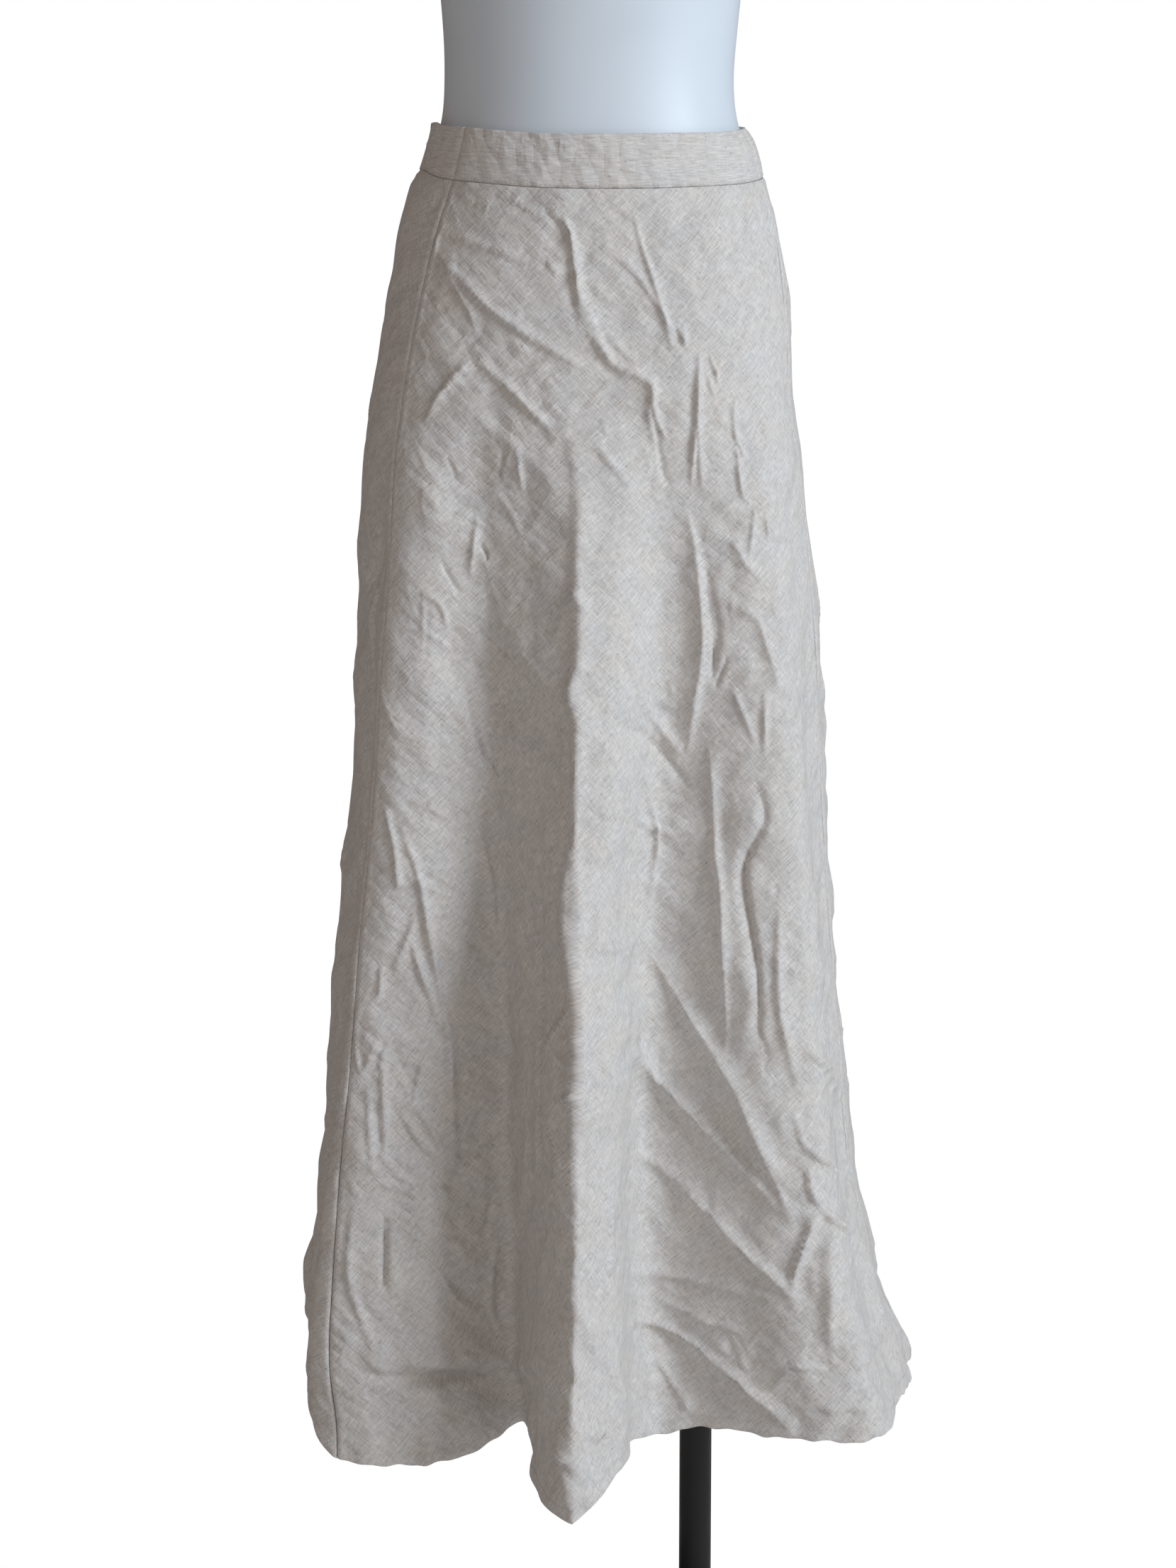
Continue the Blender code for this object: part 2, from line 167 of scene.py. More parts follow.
# Half widths to the left and right, and depths to the front and back, of the plain rings of cloth.
# Square flattens the front of a ring, as over the hips: 0 is a round front, 1 a box.
# height, left, right, front, back, square
SECTIONS = (
    (1.204, 0.1140, 0.1105, 0.0870, 0.0800, 0.00),
    (1.188, 0.1172, 0.1212, 0.0890, 0.0830, 0.00),
    (1.164, 0.1245, 0.1285, 0.0925, 0.0880, 0.00),
    (1.126, 0.1366, 0.1405, 0.0990, 0.1000, 0.10),
    (1.085, 0.1459, 0.1459, 0.1060, 0.1130, 0.20),
    (1.043, 0.1541, 0.1494, 0.1120, 0.1250, 0.26),
    (1.002, 0.1615, 0.1510, 0.1165, 0.1340, 0.28),
    (0.960, 0.1660, 0.1580, 0.1200, 0.1410, 0.28),
    (0.875, 0.1685, 0.1680, 0.1260, 0.1490, 0.25),
    (0.790, 0.1743, 0.1753, 0.1320, 0.1560, 0.20),
    (0.703, 0.1790, 0.1800, 0.1385, 0.1625, 0.15),
    (0.616, 0.1888, 0.1868, 0.1455, 0.1700, 0.10),
    (0.527, 0.1958, 0.1945, 0.1530, 0.1780, 0.06),
    (0.438, 0.2055, 0.2020, 0.1605, 0.1860, 0.03),
    (0.370, 0.2116, 0.2165, 0.1665, 0.1920, 0.00),
    (0.302, 0.2138, 0.2330, 0.1725, 0.1975, 0.00),
    (0.256, 0.2055, 0.2510, 0.1765, 0.2005, 0.00),
    (0.212, 0.2045, 0.2490, 0.1800, 0.2030, 0.00),
)

# Heights around the skirt: angle, waistband's top edge, seam under it, hem
EDGES = (
    (-180.0, 1.2040, 1.1680, 0.258),
    (-125.0, 1.2030, 1.1680, 0.270),
    (-106.0, 1.2020, 1.1675, 0.282),
    (-90.0, 1.2015, 1.1670, 0.272),
    (-75.0, 1.2010, 1.1665, 0.267),
    (-68.0, 1.1990, 1.1640, 0.270),
    (-62.0, 1.1980, 1.1618, 0.271),
    (-58.0, 1.1972, 1.1604, 0.264),
    (-52.0, 1.1962, 1.1590, 0.237),
    (-45.0, 1.1950, 1.1575, 0.227),
    (-31.0, 1.1925, 1.1550, 0.230),
    (-24.0, 1.1915, 1.1535, 0.240),
    (-17.0, 1.1905, 1.1525, 0.247),
    (-3.0, 1.1900, 1.1515, 0.222),
    (3.0, 1.1900, 1.1515, 0.243),
    (9.0, 1.1900, 1.1515, 0.246),
    (15.0, 1.1902, 1.1517, 0.238),
    (22.0, 1.1905, 1.1520, 0.245),
    (50.0, 1.1925, 1.1550, 0.249),
    (57.0, 1.1935, 1.1560, 0.254),
    (64.0, 1.1945, 1.1575, 0.259),
    (76.0, 1.1965, 1.1600, 0.262),
    (84.0, 1.1980, 1.1620, 0.262),
    (125.0, 1.2020, 1.1670, 0.252),
)

# Folds that hang from the hips:
# angle, drift by the hem, left width, right width, start, growth, depth, swell, sharp
FOLDS = (
    (-104.0, 0.0, 10.0, 12.0, 0.400, 1.30, 0.030, 0.000, 0.0),
    (-66.0, 0.0, 16.0, 18.0, 0.600, 1.30, 0.018, 0.000, 0.0),
    (-45.0, -9.0, 13.0, 19.0, 0.990, 0.75, 0.043, 0.000, 0.0),
    (-20.0, 0.0, 17.0, 14.0, 1.012, 0.85, -0.060, 0.000, 0.1),
    (-1.0, -1.5, 9.0, 12.5, 0.997, 0.85, 0.064, 0.008, 0.4),
    (14.0, 2.0, 12.0, 23.0, 1.000, 0.80, -0.062, 0.008, 0.0),
    (47.0, 2.0, 18.0, 18.0, 0.990, 0.85, 0.040, 0.000, 0.1),
    (69.0, 0.0, 13.0, 16.0, 0.560, 1.60, 0.011, 0.000, 0.0),
    (112.0, 0.0, 16.0, 18.0, 0.932, 1.00, -0.026, 0.000, 0.0),
    (136.0, 0.0, 18.0, 16.0, 0.962, 0.90, 0.034, 0.000, 0.2),
    (160.0, 0.0, 16.0, 16.0, 0.942, 0.90, -0.034, 0.000, 0.0),
    (183.0, 0.0, 17.0, 18.0, 0.982, 0.85, 0.040, 0.000, 0.3),
    (207.0, 0.0, 16.0, 16.0, 0.942, 0.90, -0.032, 0.000, 0.0),
    (230.0, 0.0, 16.0, 16.0, 0.962, 0.95, 0.032, 0.000, 0.2),
)

# Half widths and depths of the dress form: height, left, right, front, back
FORM_SECTIONS = (
    (0.8420, 0.1280, 0.1270, 0.0700, 0.0800),
    (0.8460, 0.1390, 0.1380, 0.0800, 0.0920),
    (0.8620, 0.1510, 0.1480, 0.0900, 0.1050),
    (0.9020, 0.1590, 0.1515, 0.0980, 0.1180),
    (0.9600, 0.1622, 0.1540, 0.1040, 0.1250),
    (1.0020, 0.1574, 0.1470, 0.1060, 0.1220),
    (1.0430, 0.1503, 0.1456, 0.1050, 0.1130),
    (1.0850, 0.1422, 0.1422, 0.1010, 0.1020),
    (1.1260, 0.1332, 0.1370, 0.0945, 0.0920),
    (1.1570, 0.1244, 0.1284, 0.0890, 0.0835),
    (1.1820, 0.1140, 0.1170, 0.0850, 0.0780),
    (1.2040, 0.1072, 0.1092, 0.0820, 0.0750),
    (1.2320, 0.1050, 0.1066, 0.0805, 0.0745),
    (1.2690, 0.1058, 0.1092, 0.0820, 0.0760),
    (1.3220, 0.1110, 0.1150, 0.0890, 0.0800),
    (1.3820, 0.1220, 0.1240, 0.0985, 0.0860),
    (1.4420, 0.1340, 0.1350, 0.1100, 0.0930),
    (1.5020, 0.1460, 0.1465, 0.1060, 0.0980),
    (1.5520, 0.1560, 0.1560, 0.0900, 0.0970),
    (1.5920, 0.1570, 0.1570, 0.0740, 0.0870),
    (1.6170, 0.1400, 0.1400, 0.0650, 0.0760),
    (1.6350, 0.1050, 0.1050, 0.0580, 0.0660),
    (1.6520, 0.0700, 0.0700, 0.0530, 0.0570),
    (1.6820, 0.0530, 0.0530, 0.0500, 0.0510),
    (1.7220, 0.0500, 0.0500, 0.0480, 0.0490),
)

# Unevenness under the facets: a soft wave, a wander of the facets' edges, and calmer patches
LATTICE_SIZE = 256
WAVE_DEPTH = 0.0020
WAVE_SIZE = 0.075
WANDER_DEPTH = 0.008
WANDER_SIZE = 0.060
PATCH_SIZE = 0.100

# Layers of crumpled facets: size, stretch along the heading, heading in degrees, depth
CRUMPLE = (
    (0.046, 2.2, 52.0, 0.0056),
    (0.034, 2.0, -46.0, -0.0036),
    (0.021, 1.8, 66.0, 0.0014),
)

# Creases in the front panel. The first two numbers are widths in millimetres: below or to the left
# of a line that runs across or down, then above or to its right. Height is in millimetres, a trough
# where negative; sharp is 1 for a pressed edge; points are flat coordinates.
FRONT_CREASES = (
    (5.1, 7.6, 3.0, 0.95, ((-142, 41), (-109, 46), (-81, 55))),
    (6.0, 10.2, 3.9, 0.95, ((-158, 51), (-140, 67), (-103, 98), (-60, 122), (-30, 138))),
    (7.6, 9.3, 4.4, 0.95, ((-129, 126), (-106, 144), (-85, 163), (-69, 180))),
    (6.0, 7.6, 4.1, 0.9, ((-59, 16), (-49, 30), (-49, 54), (-50, 86), (-48, 113))),
    (6.0, 10.2, 3.9, 0.95, ((-46, 38), (-48, 79), (-32, 123), (-5, 139), (-6, 164), (2, 195))),
    (6.8, 6.8, 3.7, 0.9, ((-131, 126), (-155, 153), (-170, 175))),
    (3.4, 5.1, 2.1, 0.9, ((-87, 8), (-69, 20))),
    (5.1, 6.8, 3.2, 0.9, ((0, 19), (1, 39), (5, 65), (13, 118))),
    (4.2, 5.1, 3.0, 0.95, ((17, 96), (23, 116))),
    (4.2, 5.1, 2.5, 0.95, ((36, 131), (43, 152))),
    (5.1, 7.6, 3.0, 0.9, ((32, 120), (28, 161), (25, 196))),
    (3.4, 5.1, 2.5, 0.95, ((56, 178), (64, 198))),
    (2.5, 2.5, -1.1, 0.95, ((-172, 232), (-142, 233), (-107, 233))),
    (2.5, 2.5, -1.1, 0.95, ((-22, 216), (30, 224), (80, 232))),
    (3.4, 3.4, 1.4, 0.95, ((-64, 278), (-27, 277), (29, 285))),
    (5.1, 7.6, 3.4, 0.95, ((-47, 171), (-39, 191), (-21, 213))),
    (5.1, 7.6, 3.0, 0.95, ((33, 118), (30, 150), (29, 182), (31, 220))),
    (4.2, 6.0, 3.2, 0.95, ((-52, 19), (-48, 31), (-47, 42))),
    (4.2, 6.0, 2.8, 0.95, ((22, 97), (22, 116))),
    (20, 7, 5.8, 0.9, ((18, 225), (24, 245), (30, 279), (35, 333), (27, 409))),
    (4.2, 10.2, -6.9, 0.9, ((34, 271), (37, 297), (42, 318), (42, 356))),
    (6.8, 10.2, 3.4, 0.95, ((32, 248), (52, 255), (64, 273), (82, 289))),
    (10, 14, 4.0, 0.95, ((41, 294), (70, 309), (84, 340), (94, 369))),
    (6.0, 10.2, 4.1, 0.95, ((-34, 327), (-16, 362), (3, 384), (27, 412))),
    (6.8, 7.6, -4.1, 0.8, ((-48, 378), (-3, 394), (31, 434))),
    (5.1, 6.8, 3.0, 0.9, ((56, 356), (78, 402))),
    (6.0, 8.5, 5.4, 0.95, ((42, 393), (48, 430), (53, 477), (60, 511), (71, 626))),
    (10.2, 6.8, -6.6, 0.8, ((78, 425), (88, 456), (75, 491), (91, 571), (95, 627))),
    (6.8, 10.2, 4.8, 0.9, ((103, 515), (108, 593), (126, 653))),
    (3.4, 4.2, -3.2, 0.9, ((-173, 271), (-163, 296))),
    (4.2, 6.0, -2.5, 0.9, ((-159, 315), (-129, 344), (-133, 363))),
    (4.2, 6.0, -3.0, 0.9, ((-173, 359), (-172, 405), (-154, 432))),
    (4.2, 5.1, -2.1, 0.9, ((-157, 361), (-141, 400))),
    (4.2, 5.1, 2.3, 0.9, ((-192, 325), (-175, 335))),
    (5.1, 6.0, 3.2, 0.9, ((-207, 244), (-226, 317), (-239, 364), (-228, 404))),
    (5.1, 8.5, 5.1, 0.95, ((-75, 283), (-61, 304))),
    (4.2, 5.1, 4.1, 0.95, ((-91, 379), (-90, 403), (-91, 427))),
    (5.1, 6.8, 3.3, 0.95, ((-82, 489), (-81, 529), (-27, 532))),
    (12, 16, 7.5, 0.9, ((-2, 538), (40, 599), (81, 654), (106, 701), (129, 732))),
    (12, 16, 7.5, 0.9, ((-45, 597), (42, 669), (89, 713), (129, 752))),
    (10, 18, 6.1, 0.9, ((81, 654), (101, 697), (116, 726), (131, 758))),
    (7, 14, 5.1, 0.9, ((64, 754), (90, 772), (126, 803), (135, 822))),
    (3.4, 4.2, -3.6, 0.95, ((64, 802), (87, 804), (112, 810), (133, 819))),
    (9, 14, 5.1, 0.9, ((-10, 695), (20, 712), (78, 760), (129, 810))),
    (6.8, 10.2, 5.4, 0.9, ((-8, 790), (38, 797), (103, 807), (133, 819))),
    (5.1, 7.6, 4.2, 0.9, ((24, 814), (49, 826), (95, 837))),
    (7.6, 10.2, 6.9, 0.9, ((-39, 824), (0, 826), (49, 847), (105, 889), (133, 912))),
    (5.1, 6.8, 4.2, 0.9, ((21, 858), (50, 907))),
    (6.8, 10.2, 6.9, 0.9, ((145, 743), (139, 764), (132, 787), (129, 809))),
    (10, 24, 6.8, 0.8, ((155, 761), (156, 794), (157, 826), (161, 863))),
    (4.2, 10.2, 6.0, 0.95, ((148, 743), (160, 756), (194, 777))),
    (4.2, 10.2, 6.0, 0.95, ((136, 713), (141, 733), (149, 744))),
    (5.1, 6.8, 4.2, 0.9, ((127, 627), (225, 688))),
    (5.1, 6.8, 4.8, 0.95, ((-299, 587), (-319, 613), (-323, 649), (-299, 618))),
    (5.1, 6.0, 3.9, 0.9, ((-321, 659), (-334, 722))),
    (6.0, 7.6, 4.2, 0.9, ((-302, 674), (-287, 710))),
    (6.0, 7.6, 4.2, 0.9, ((-335, 726), (-305, 733), (-281, 730))),
    (5.1, 6.8, 3.3, 0.9, ((-230, 691), (-252, 703))),
    (6.0, 7.6, 3.9, 0.9, ((-250, 501), (-214, 516))),
    (3.4, 5.1, -7.8, 0.9, ((-334, 752), (-343, 781), (-353, 811))),
    (6.0, 7.6, 4.8, 0.9, ((-355, 747), (-375, 800), (-373, 857))),
    (5, 38, 6.1, 0.5, ((-386, 855), (-372, 860), (-331, 862), (-277, 869), (-159, 835))),
    (7.6, 9.3, -10.2, 0.4, ((-391, 871), (-362, 874), (-319, 870), (-277, 871))),
    (5.1, 6.8, 4.2, 0.95, ((-152, 890), (-109, 917))),
    (6.0, 7.6, 5.1, 0.95, ((-130, 877), (-94, 886), (-74, 901))),
    (10, 22, 6.1, 0.95, ((-70, 167), (-65, 179), (-61, 215), (-67, 275), (-70, 331), (-79, 359),
        (-75, 378), (-86, 468))),
    (9, 20, 6.6, 0.95, ((-85, 458), (-96, 507), (-93, 578), (-100, 634), (-108, 688))),
    (6.8, 6.8, -4.8, 0.8, ((-116, 465), (-137, 573), (-157, 725))),
    (3.4, 4.2, 2.5, 0.95, ((-36, 98), (-20, 119), (-2, 130))),
    (3.4, 5.1, 3.0, 0.95, ((-2, 133), (-2, 158), (6, 182))),
    (3.4, 3.4, 2.8, 0.95, ((40, 123), (45, 134), (46, 143))),
    (4.2, 6.0, 2.8, 0.95, ((60, 153), (57, 166), (57, 186))),
    (5.1, 7.6, 2.3, 0.9, ((-29, 42), (-8, 60), (18, 110))),
    (4.2, 5.1, 2.1, 0.95, ((-52, 156), (-32, 138), (6, 119))),
    (3.4, 4.2, 2.3, 0.95, ((-40, 163), (-36, 177))),
    (4.2, 6.0, 2.5, 0.95, ((-43, 75), (-40, 107), (-30, 125))),
    (4.2, 5.1, 2.3, 0.95, ((-141, 17), (-131, 28))),
    (4.2, 5.1, 2.1, 0.95, ((-120, 13), (-105, 20))),
    (4.2, 5.1, -2.8, 0.95, ((-66, 15), (-54, 26))),
    (4.2, 6.8, 2.5, 0.95, ((-152, 55), (-131, 93), (-126, 108))),
    (5.1, 6.8, 2.1, 0.95, ((-52, 58), (-27, 79))),
    (4.2, 5.1, 2.3, 0.95, ((-65, 159), (-45, 137))),
    (4.2, 5.1, 2.3, 0.95, ((-69, 53), (-61, 62))),
    (4.2, 4.2, 3.7, 0.95, ((-153, 40), (-154, 51), (-157, 58))),
    (4.2, 5.1, 2.3, 0.95, ((-179, 114), (-166, 129))),
    (3.4, 4.2, -2.8, 0.95, ((-142, 257), (-136, 267))),
    (4.2, 5.1, 2.8, 0.95, ((-192, 296), (-179, 304), (-177, 322))),
    (4.2, 5.1, -2.3, 0.95, ((-165, 340), (-157, 346))),
    (4.2, 6.0, 4.2, 0.95, ((-253, 452), (-252, 480), (-258, 514))),
    (5.1, 6.8, 3.3, 0.95, ((-222, 449), (-206, 459))),
    (4.2, 5.1, 3.2, 0.95, ((-103, 188), (-103, 215))),
    (4.2, 5.1, -2.3, 0.95, ((-113, 187), (-122, 210))),
    (4.2, 5.1, -2.3, 0.95, ((-156, 196), (-151, 213))),
    (5.1, 6.8, 2.8, 0.95, ((-140, 236), (-154, 281))),
    (4.2, 6.0, -3.2, 0.95, ((-2, 169), (3, 203), (9, 214))),
    (4.2, 5.1, 3.0, 0.95, ((26, 171), (23, 214))),
    (4.2, 6.0, 3.2, 0.95, ((57, 186), (60, 221), (68, 231))),
    (5.1, 5.1, -3.2, 0.95, ((54, 335), (44, 362))),
    (5.1, 7.6, 3.2, 0.95, ((81, 362), (84, 412))),
    (5.1, 5.1, -2.5, 0.95, ((-4, 369), (20, 379))),
    (4.2, 5.1, 2.8, 0.95, ((70, 232), (65, 270))),
    (3.4, 4.2, 2.3, 0.95, ((78, 236), (82, 260))),
    (6.0, 7.6, 6.0, 0.95, ((-244, 463), (-240, 501), (-244, 544), (-247, 595), (-254, 636), (-267, 689),
        (-273, 715))),
    (4.2, 6.0, -3.6, 0.95, ((-237, 501), (-221, 509), (-205, 517))),
    (5.1, 6.8, 3.6, 0.95, ((-248, 529), (-260, 547), (-277, 573))),
    (5.1, 6.8, 4.2, 0.95, ((-257, 545), (-257, 571), (-255, 589), (-255, 610))),
    (5.1, 6.8, -4.2, 0.95, ((-240, 553), (-245, 585), (-251, 616))),
    (4.2, 6.0, 3.6, 0.95, ((-266, 627), (-280, 648), (-292, 669), (-307, 672))),
    (4.2, 6.0, 3.9, 0.95, ((-294, 624), (-302, 635), (-309, 647))),
    (4.2, 6.8, 4.5, 0.95, ((-304, 640), (-312, 671), (-323, 713))),
    (4.2, 6.8, 3.6, 0.95, ((-290, 666), (-283, 684), (-277, 711))),
    (4.2, 6.8, 3.3, 0.95, ((-321, 710), (-297, 712), (-272, 715))),
    (5.1, 6.8, -3.9, 0.95, ((-326, 725), (-308, 731), (-293, 733))),
    (4.2, 6.0, -3.6, 0.95, ((-272, 715), (-240, 699), (-219, 689))),
    (4.2, 6.0, 4.2, 0.95, ((-304, 600), (-291, 588), (-284, 567))),
    (4.2, 5.1, 4.8, 0.95, ((-105, 594), (-96, 606), (-98, 638))),
    (4.2, 5.1, -4.5, 0.95, ((-90, 603), (-89, 628), (-86, 658))),
    (4.2, 6.0, 4.8, 0.95, ((-119, 651), (-104, 643), (-96, 648), (-87, 662))),
    (5.1, 6.8, 3.0, 0.95, ((-67, 483), (-68, 519), (-72, 538), (-8, 540))),
    (4.2, 5.1, -3.3, 0.95, ((-249, 737), (-257, 755), (-270, 776))),
    (4.2, 6.8, 4.5, 0.95, ((-94, 576), (-111, 593), (-132, 612))),
    (4.2, 6.8, 4.2, 0.95, ((-120, 612), (-105, 618), (-96, 628))),
    (5.1, 7.6, 4.8, 0.95, ((-145, 652), (-122, 686), (-137, 718))),
    (4.2, 6.0, 3.6, 0.95, ((-140, 719), (-117, 729), (-97, 732))),
    (20, 12, 4.7, 0.7, ((-125, 770), (-114, 793), (-91, 827), (-52, 874))),
    (10.2, 8.5, 4.8, 0.8, ((-144, 878), (-142, 904), (-141, 936))),
    (4.2, 6.8, 3.9, 0.95, ((-253, 767), (-273, 815), (-273, 853))),
    (4.2, 6.0, 3.3, 0.95, ((-312, 773), (-301, 811), (-274, 836))),
    (5.1, 6.8, 3.9, 0.95, ((-78, 690), (-71, 742), (-80, 792))),
    (4.2, 6.0, 3.6, 0.95, ((151, 877), (173, 865), (285, 869))),
    (4.2, 6.0, 3.6, 0.95, ((145, 891), (166, 895), (203, 888))),
    (4.2, 6.0, 3.9, 0.95, ((113, 878), (130, 861), (157, 865))),
    (5.1, 6.8, 3.9, 0.95, ((123, 667), (136, 699), (183, 729))),
    (5.1, 7.6, 4.2, 0.95, ((-11, 412), (8, 467), (4, 523))),
    (5.1, 7.6, 3.9, 0.95, ((-192, 444), (-187, 496), (-195, 548))),
    (4.2, 6.0, 3.6, 0.95, ((-45, 434), (-14, 452), (23, 466))),
)

# Creases in the back panel, in the same columns
BACK_CREASES = (
    (6, 7, 2.4, 0.9, ((311, 244), (295, 322), (304, 369))),
    (5, 6, 2.0, 0.9, ((251, 419), (317, 462))),
    (5, 6, 2.0, 0.9, ((264, 482), (286, 535), (301, 597))),
    (9, 14, 3.4, 0.9, ((-120, 92), (-72, 118), (-20, 160))),
    (8, 12, 3.1, 0.9, ((60, 70), (40, 120), (46, 190))),
    (7, 10, 2.7, 0.9, ((130, 110), (102, 160), (84, 228))),
    (6, 9, 2.4, 0.9, ((-170, 120), (-150, 190), (-160, 250))),
    (3, 3, -0.8, 0.95, ((-200, 236), (-90, 232), (20, 238))),
    (3, 3, -0.8, 0.95, ((60, 240), (150, 236), (210, 230))),
    (12, 16, 4.8, 0.9, ((-10, 300), (40, 372), (96, 430), (120, 500))),
    (8, 14, 3.4, 0.9, ((-190, 330), (-140, 360), (-100, 420))),
    (10, 12, -3.4, 0.8, ((-60, 380), (-76, 440), (-52, 520))),
    (8, 10, 2.9, 0.9, ((180, 350), (160, 420), (190, 480))),
    (9, 12, 3.7, 0.9, ((-230, 480), (-180, 540), (-110, 590))),
    (12, 18, 5.1, 0.9, ((-30, 560), (40, 630), (110, 690), (150, 760))),
    (8, 12, 3.1, 0.9, ((200, 560), (170, 640), (182, 700))),
    (7, 12, -3.4, 0.8, ((-260, 690), (-180, 700), (-100, 690))),
    (9, 12, 3.6, 0.9, ((-120, 740), (-60, 790), (10, 820))),
    (7, 10, 2.7, 0.9, ((240, 700), (260, 780), (250, 850))),
    (8, 10, -3.6, 0.8, ((60, 800), (140, 826), (220, 820))),
    (7, 9, 2.5, 0.9, ((-330, 640), (-300, 720), (-320, 800))),
    (8, 10, 2.7, 0.9, ((-280, 840), (-200, 860), (-130, 850))),
)


def sample(rows, keys):
    """A table's columns at an array of keys, on smooth curves through its rows."""
    ordered = np.array(sorted(rows))
    places = ordered[:, 0]
    values = ordered[:, 1:]
    keys = np.clip(keys, places[0], places[-1])
    upper = np.clip(np.searchsorted(places, keys, side="right"), 1, len(places) - 1)
    lower = upper - 1
    before = np.maximum(lower - 1, 0)
    after = np.minimum(upper + 1, len(places) - 1)
    step = (places[upper] - places[lower])[..., None]
    share = (keys - places[lower])[..., None] / step
    start_slope = (values[upper] - values[before]) / (places[upper] - places[before])[..., None] * step
    end_slope = (values[after] - values[lower]) / (places[after] - places[lower])[..., None] * step
    result = (2 * share**3 - 3 * share**2 + 1) * values[lower]
    result += (share**3 - 2 * share**2 + share) * start_slope
    result += (3 * share**2 - 2 * share**3) * values[upper]
    result += (share**3 - share**2) * end_slope
    return np.moveaxis(result, -1, 0)


def edge_heights(angle):
    """Heights of the top edge, the waist seam and the hem at angles around the skirt."""
    rows = [(row[0] + turn, *row[1:]) for turn in (0.0, 360.0, 720.0) for row in EDGES]
    return sample(rows, np.degrees(angle) % 360.0 + 360.0)


def ring_points(row, angle):
    """Points and their outward directions on rings of four quarter ellipses, with a square front."""
    left, right, front, back, square = row
    across, forward = np.sin(angle), np.cos(angle)
    width = np.where(across >= 0.0, right, left)
    depth = np.where(forward >= 0.0, front, back)
    square = np.where(forward >= 0.0, square, 0.0)
    place_x = np.sign(across) * np.abs(across) ** (1.0 - square)
    place_y = np.sign(forward) * np.abs(forward) ** (1.0 - square)
    slope_x = np.sign(across) * np.abs(across) ** (1.0 + square)
    slope_y = np.sign(forward) * np.abs(forward) ** (1.0 + square)
    points = np.stack([width * place_x, -depth * place_y], axis=-1)
    return points, unit(np.stack([slope_x / width, -slope_y / depth], axis=-1))


def fold_offsets(angle, height):
    """How far the folds move the cloth outwards and sideways at angles and heights."""
    outwards = np.zeros_like(height)
    sideways = np.zeros_like(height)
    for centre, drift, left_width, right_width, start, growth, depth, swell, sharp in FOLDS:
        fall = np.clip((start - height) / (start - HEM_HEIGHT), 0.0, 1.1)
        turn = (np.degrees(angle) - centre - drift * fall + 180.0) % 360.0 - 180.0
        across = turn / np.where(turn > 0.0, right_width, left_width)
        inside = np.abs(across) < 1.0
        soft = np.cos(across * np.pi / 2) ** 2
        creased = (1.0 - np.minimum(np.abs(across), 1.0)) ** 2
        outwards += inside * depth * fall**growth * (soft * (1.0 - sharp) + creased * sharp)
        sideways += inside * swell * fall**3 * np.sin(across * np.pi)
    return outwards, sideways


def gather_offsets(angle, below_seam):
    """The waves that the elastic draws into the back, fading down from the waist seam."""
    back_span = BACK_SPAN[1] - BACK_SPAN[0]
    turn = (angle - RIGHT_SEAM_ANGLE) % (2 * np.pi)
    share = np.minimum(turn / back_span, 1.0)
    fade = np.clip(1.0 - np.maximum(below_seam, 0.0) / GATHER_FADE, 0.0, 1.0) ** 1.5
    rise = np.clip((np.minimum(share, 1.0 - share) - GATHER_EDGE) / GATHER_RISE, 0.0, 1.0)
    wave = 0.5 - 0.5 * np.cos(share * GATHER_COUNT * 2 * np.pi)
    return (turn < back_span) * GATHER_DEPTH * fade * rise * wave


def cloth_points(angle, height):
    """Points on the outside of the cloth at angles and heights."""
    seam = edge_heights(angle)[1]
    points, outward = ring_points(sample(SECTIONS, height), angle)
    outwards, sideways = fold_offsets(angle, height)
    outwards = outwards + gather_offsets(angle, seam - height)
    along = np.stack([-outward[..., 1], outward[..., 0]], axis=-1)
    points = points + outward * outwards[..., None] + along * sideways[..., None]
    return np.concatenate([points, height[..., None]], axis=-1)


def unit(vectors):
    """The vectors at length one."""
    return vectors / np.maximum(np.linalg.norm(vectors, axis=-1, keepdims=True), 1e-12)


def grid_normals(points):
    """Outward directions at the points of a grid."""
    down = np.gradient(points, axis=0)
    across = np.gradient(points, axis=1)
    return unit(np.cross(down, across))


def flat_lengths(points):
    """Lengths along the cloth: across from the middle column, and down from the first row."""
    across = np.linalg.norm(np.diff(points, axis=1), axis=-1)
    across = np.concatenate([np.zeros((len(points), 1)), np.cumsum(across, axis=1)], axis=1)
    across -= across[:, [points.shape[1] // 2]]
    down = np.linalg.norm(np.diff(points, axis=0), axis=-1)
    down = np.concatenate([np.zeros((1, points.shape[1])), np.cumsum(down, axis=0)], axis=0)
    return across, down


def smooth_line(points, step):
    """A smooth line through given points, in even steps."""
    points = np.array(points, dtype=float)
    reach = np.concatenate([[0.0], np.cumsum(np.linalg.norm(np.diff(points, axis=0), axis=1))])
    count = max(int(reach[-1] / step), 2)
    rows = [(place, *point) for place, point in zip(reach, points)]
    return sample(rows, np.linspace(0.0, reach[-1], count + 1)).T


def crease_profile(distance, below, above, sharp):
    """Height share of a crease at signed distances from its line."""
    width = np.where(distance > 0.0, below, above)
    across = np.minimum(np.abs(distance) / width, 1.0)
    soft = np.cos(across * np.pi / 2) ** 2
    creased = (1.0 - across) ** 2.6
    return soft * (1.0 - sharp) + creased * sharp


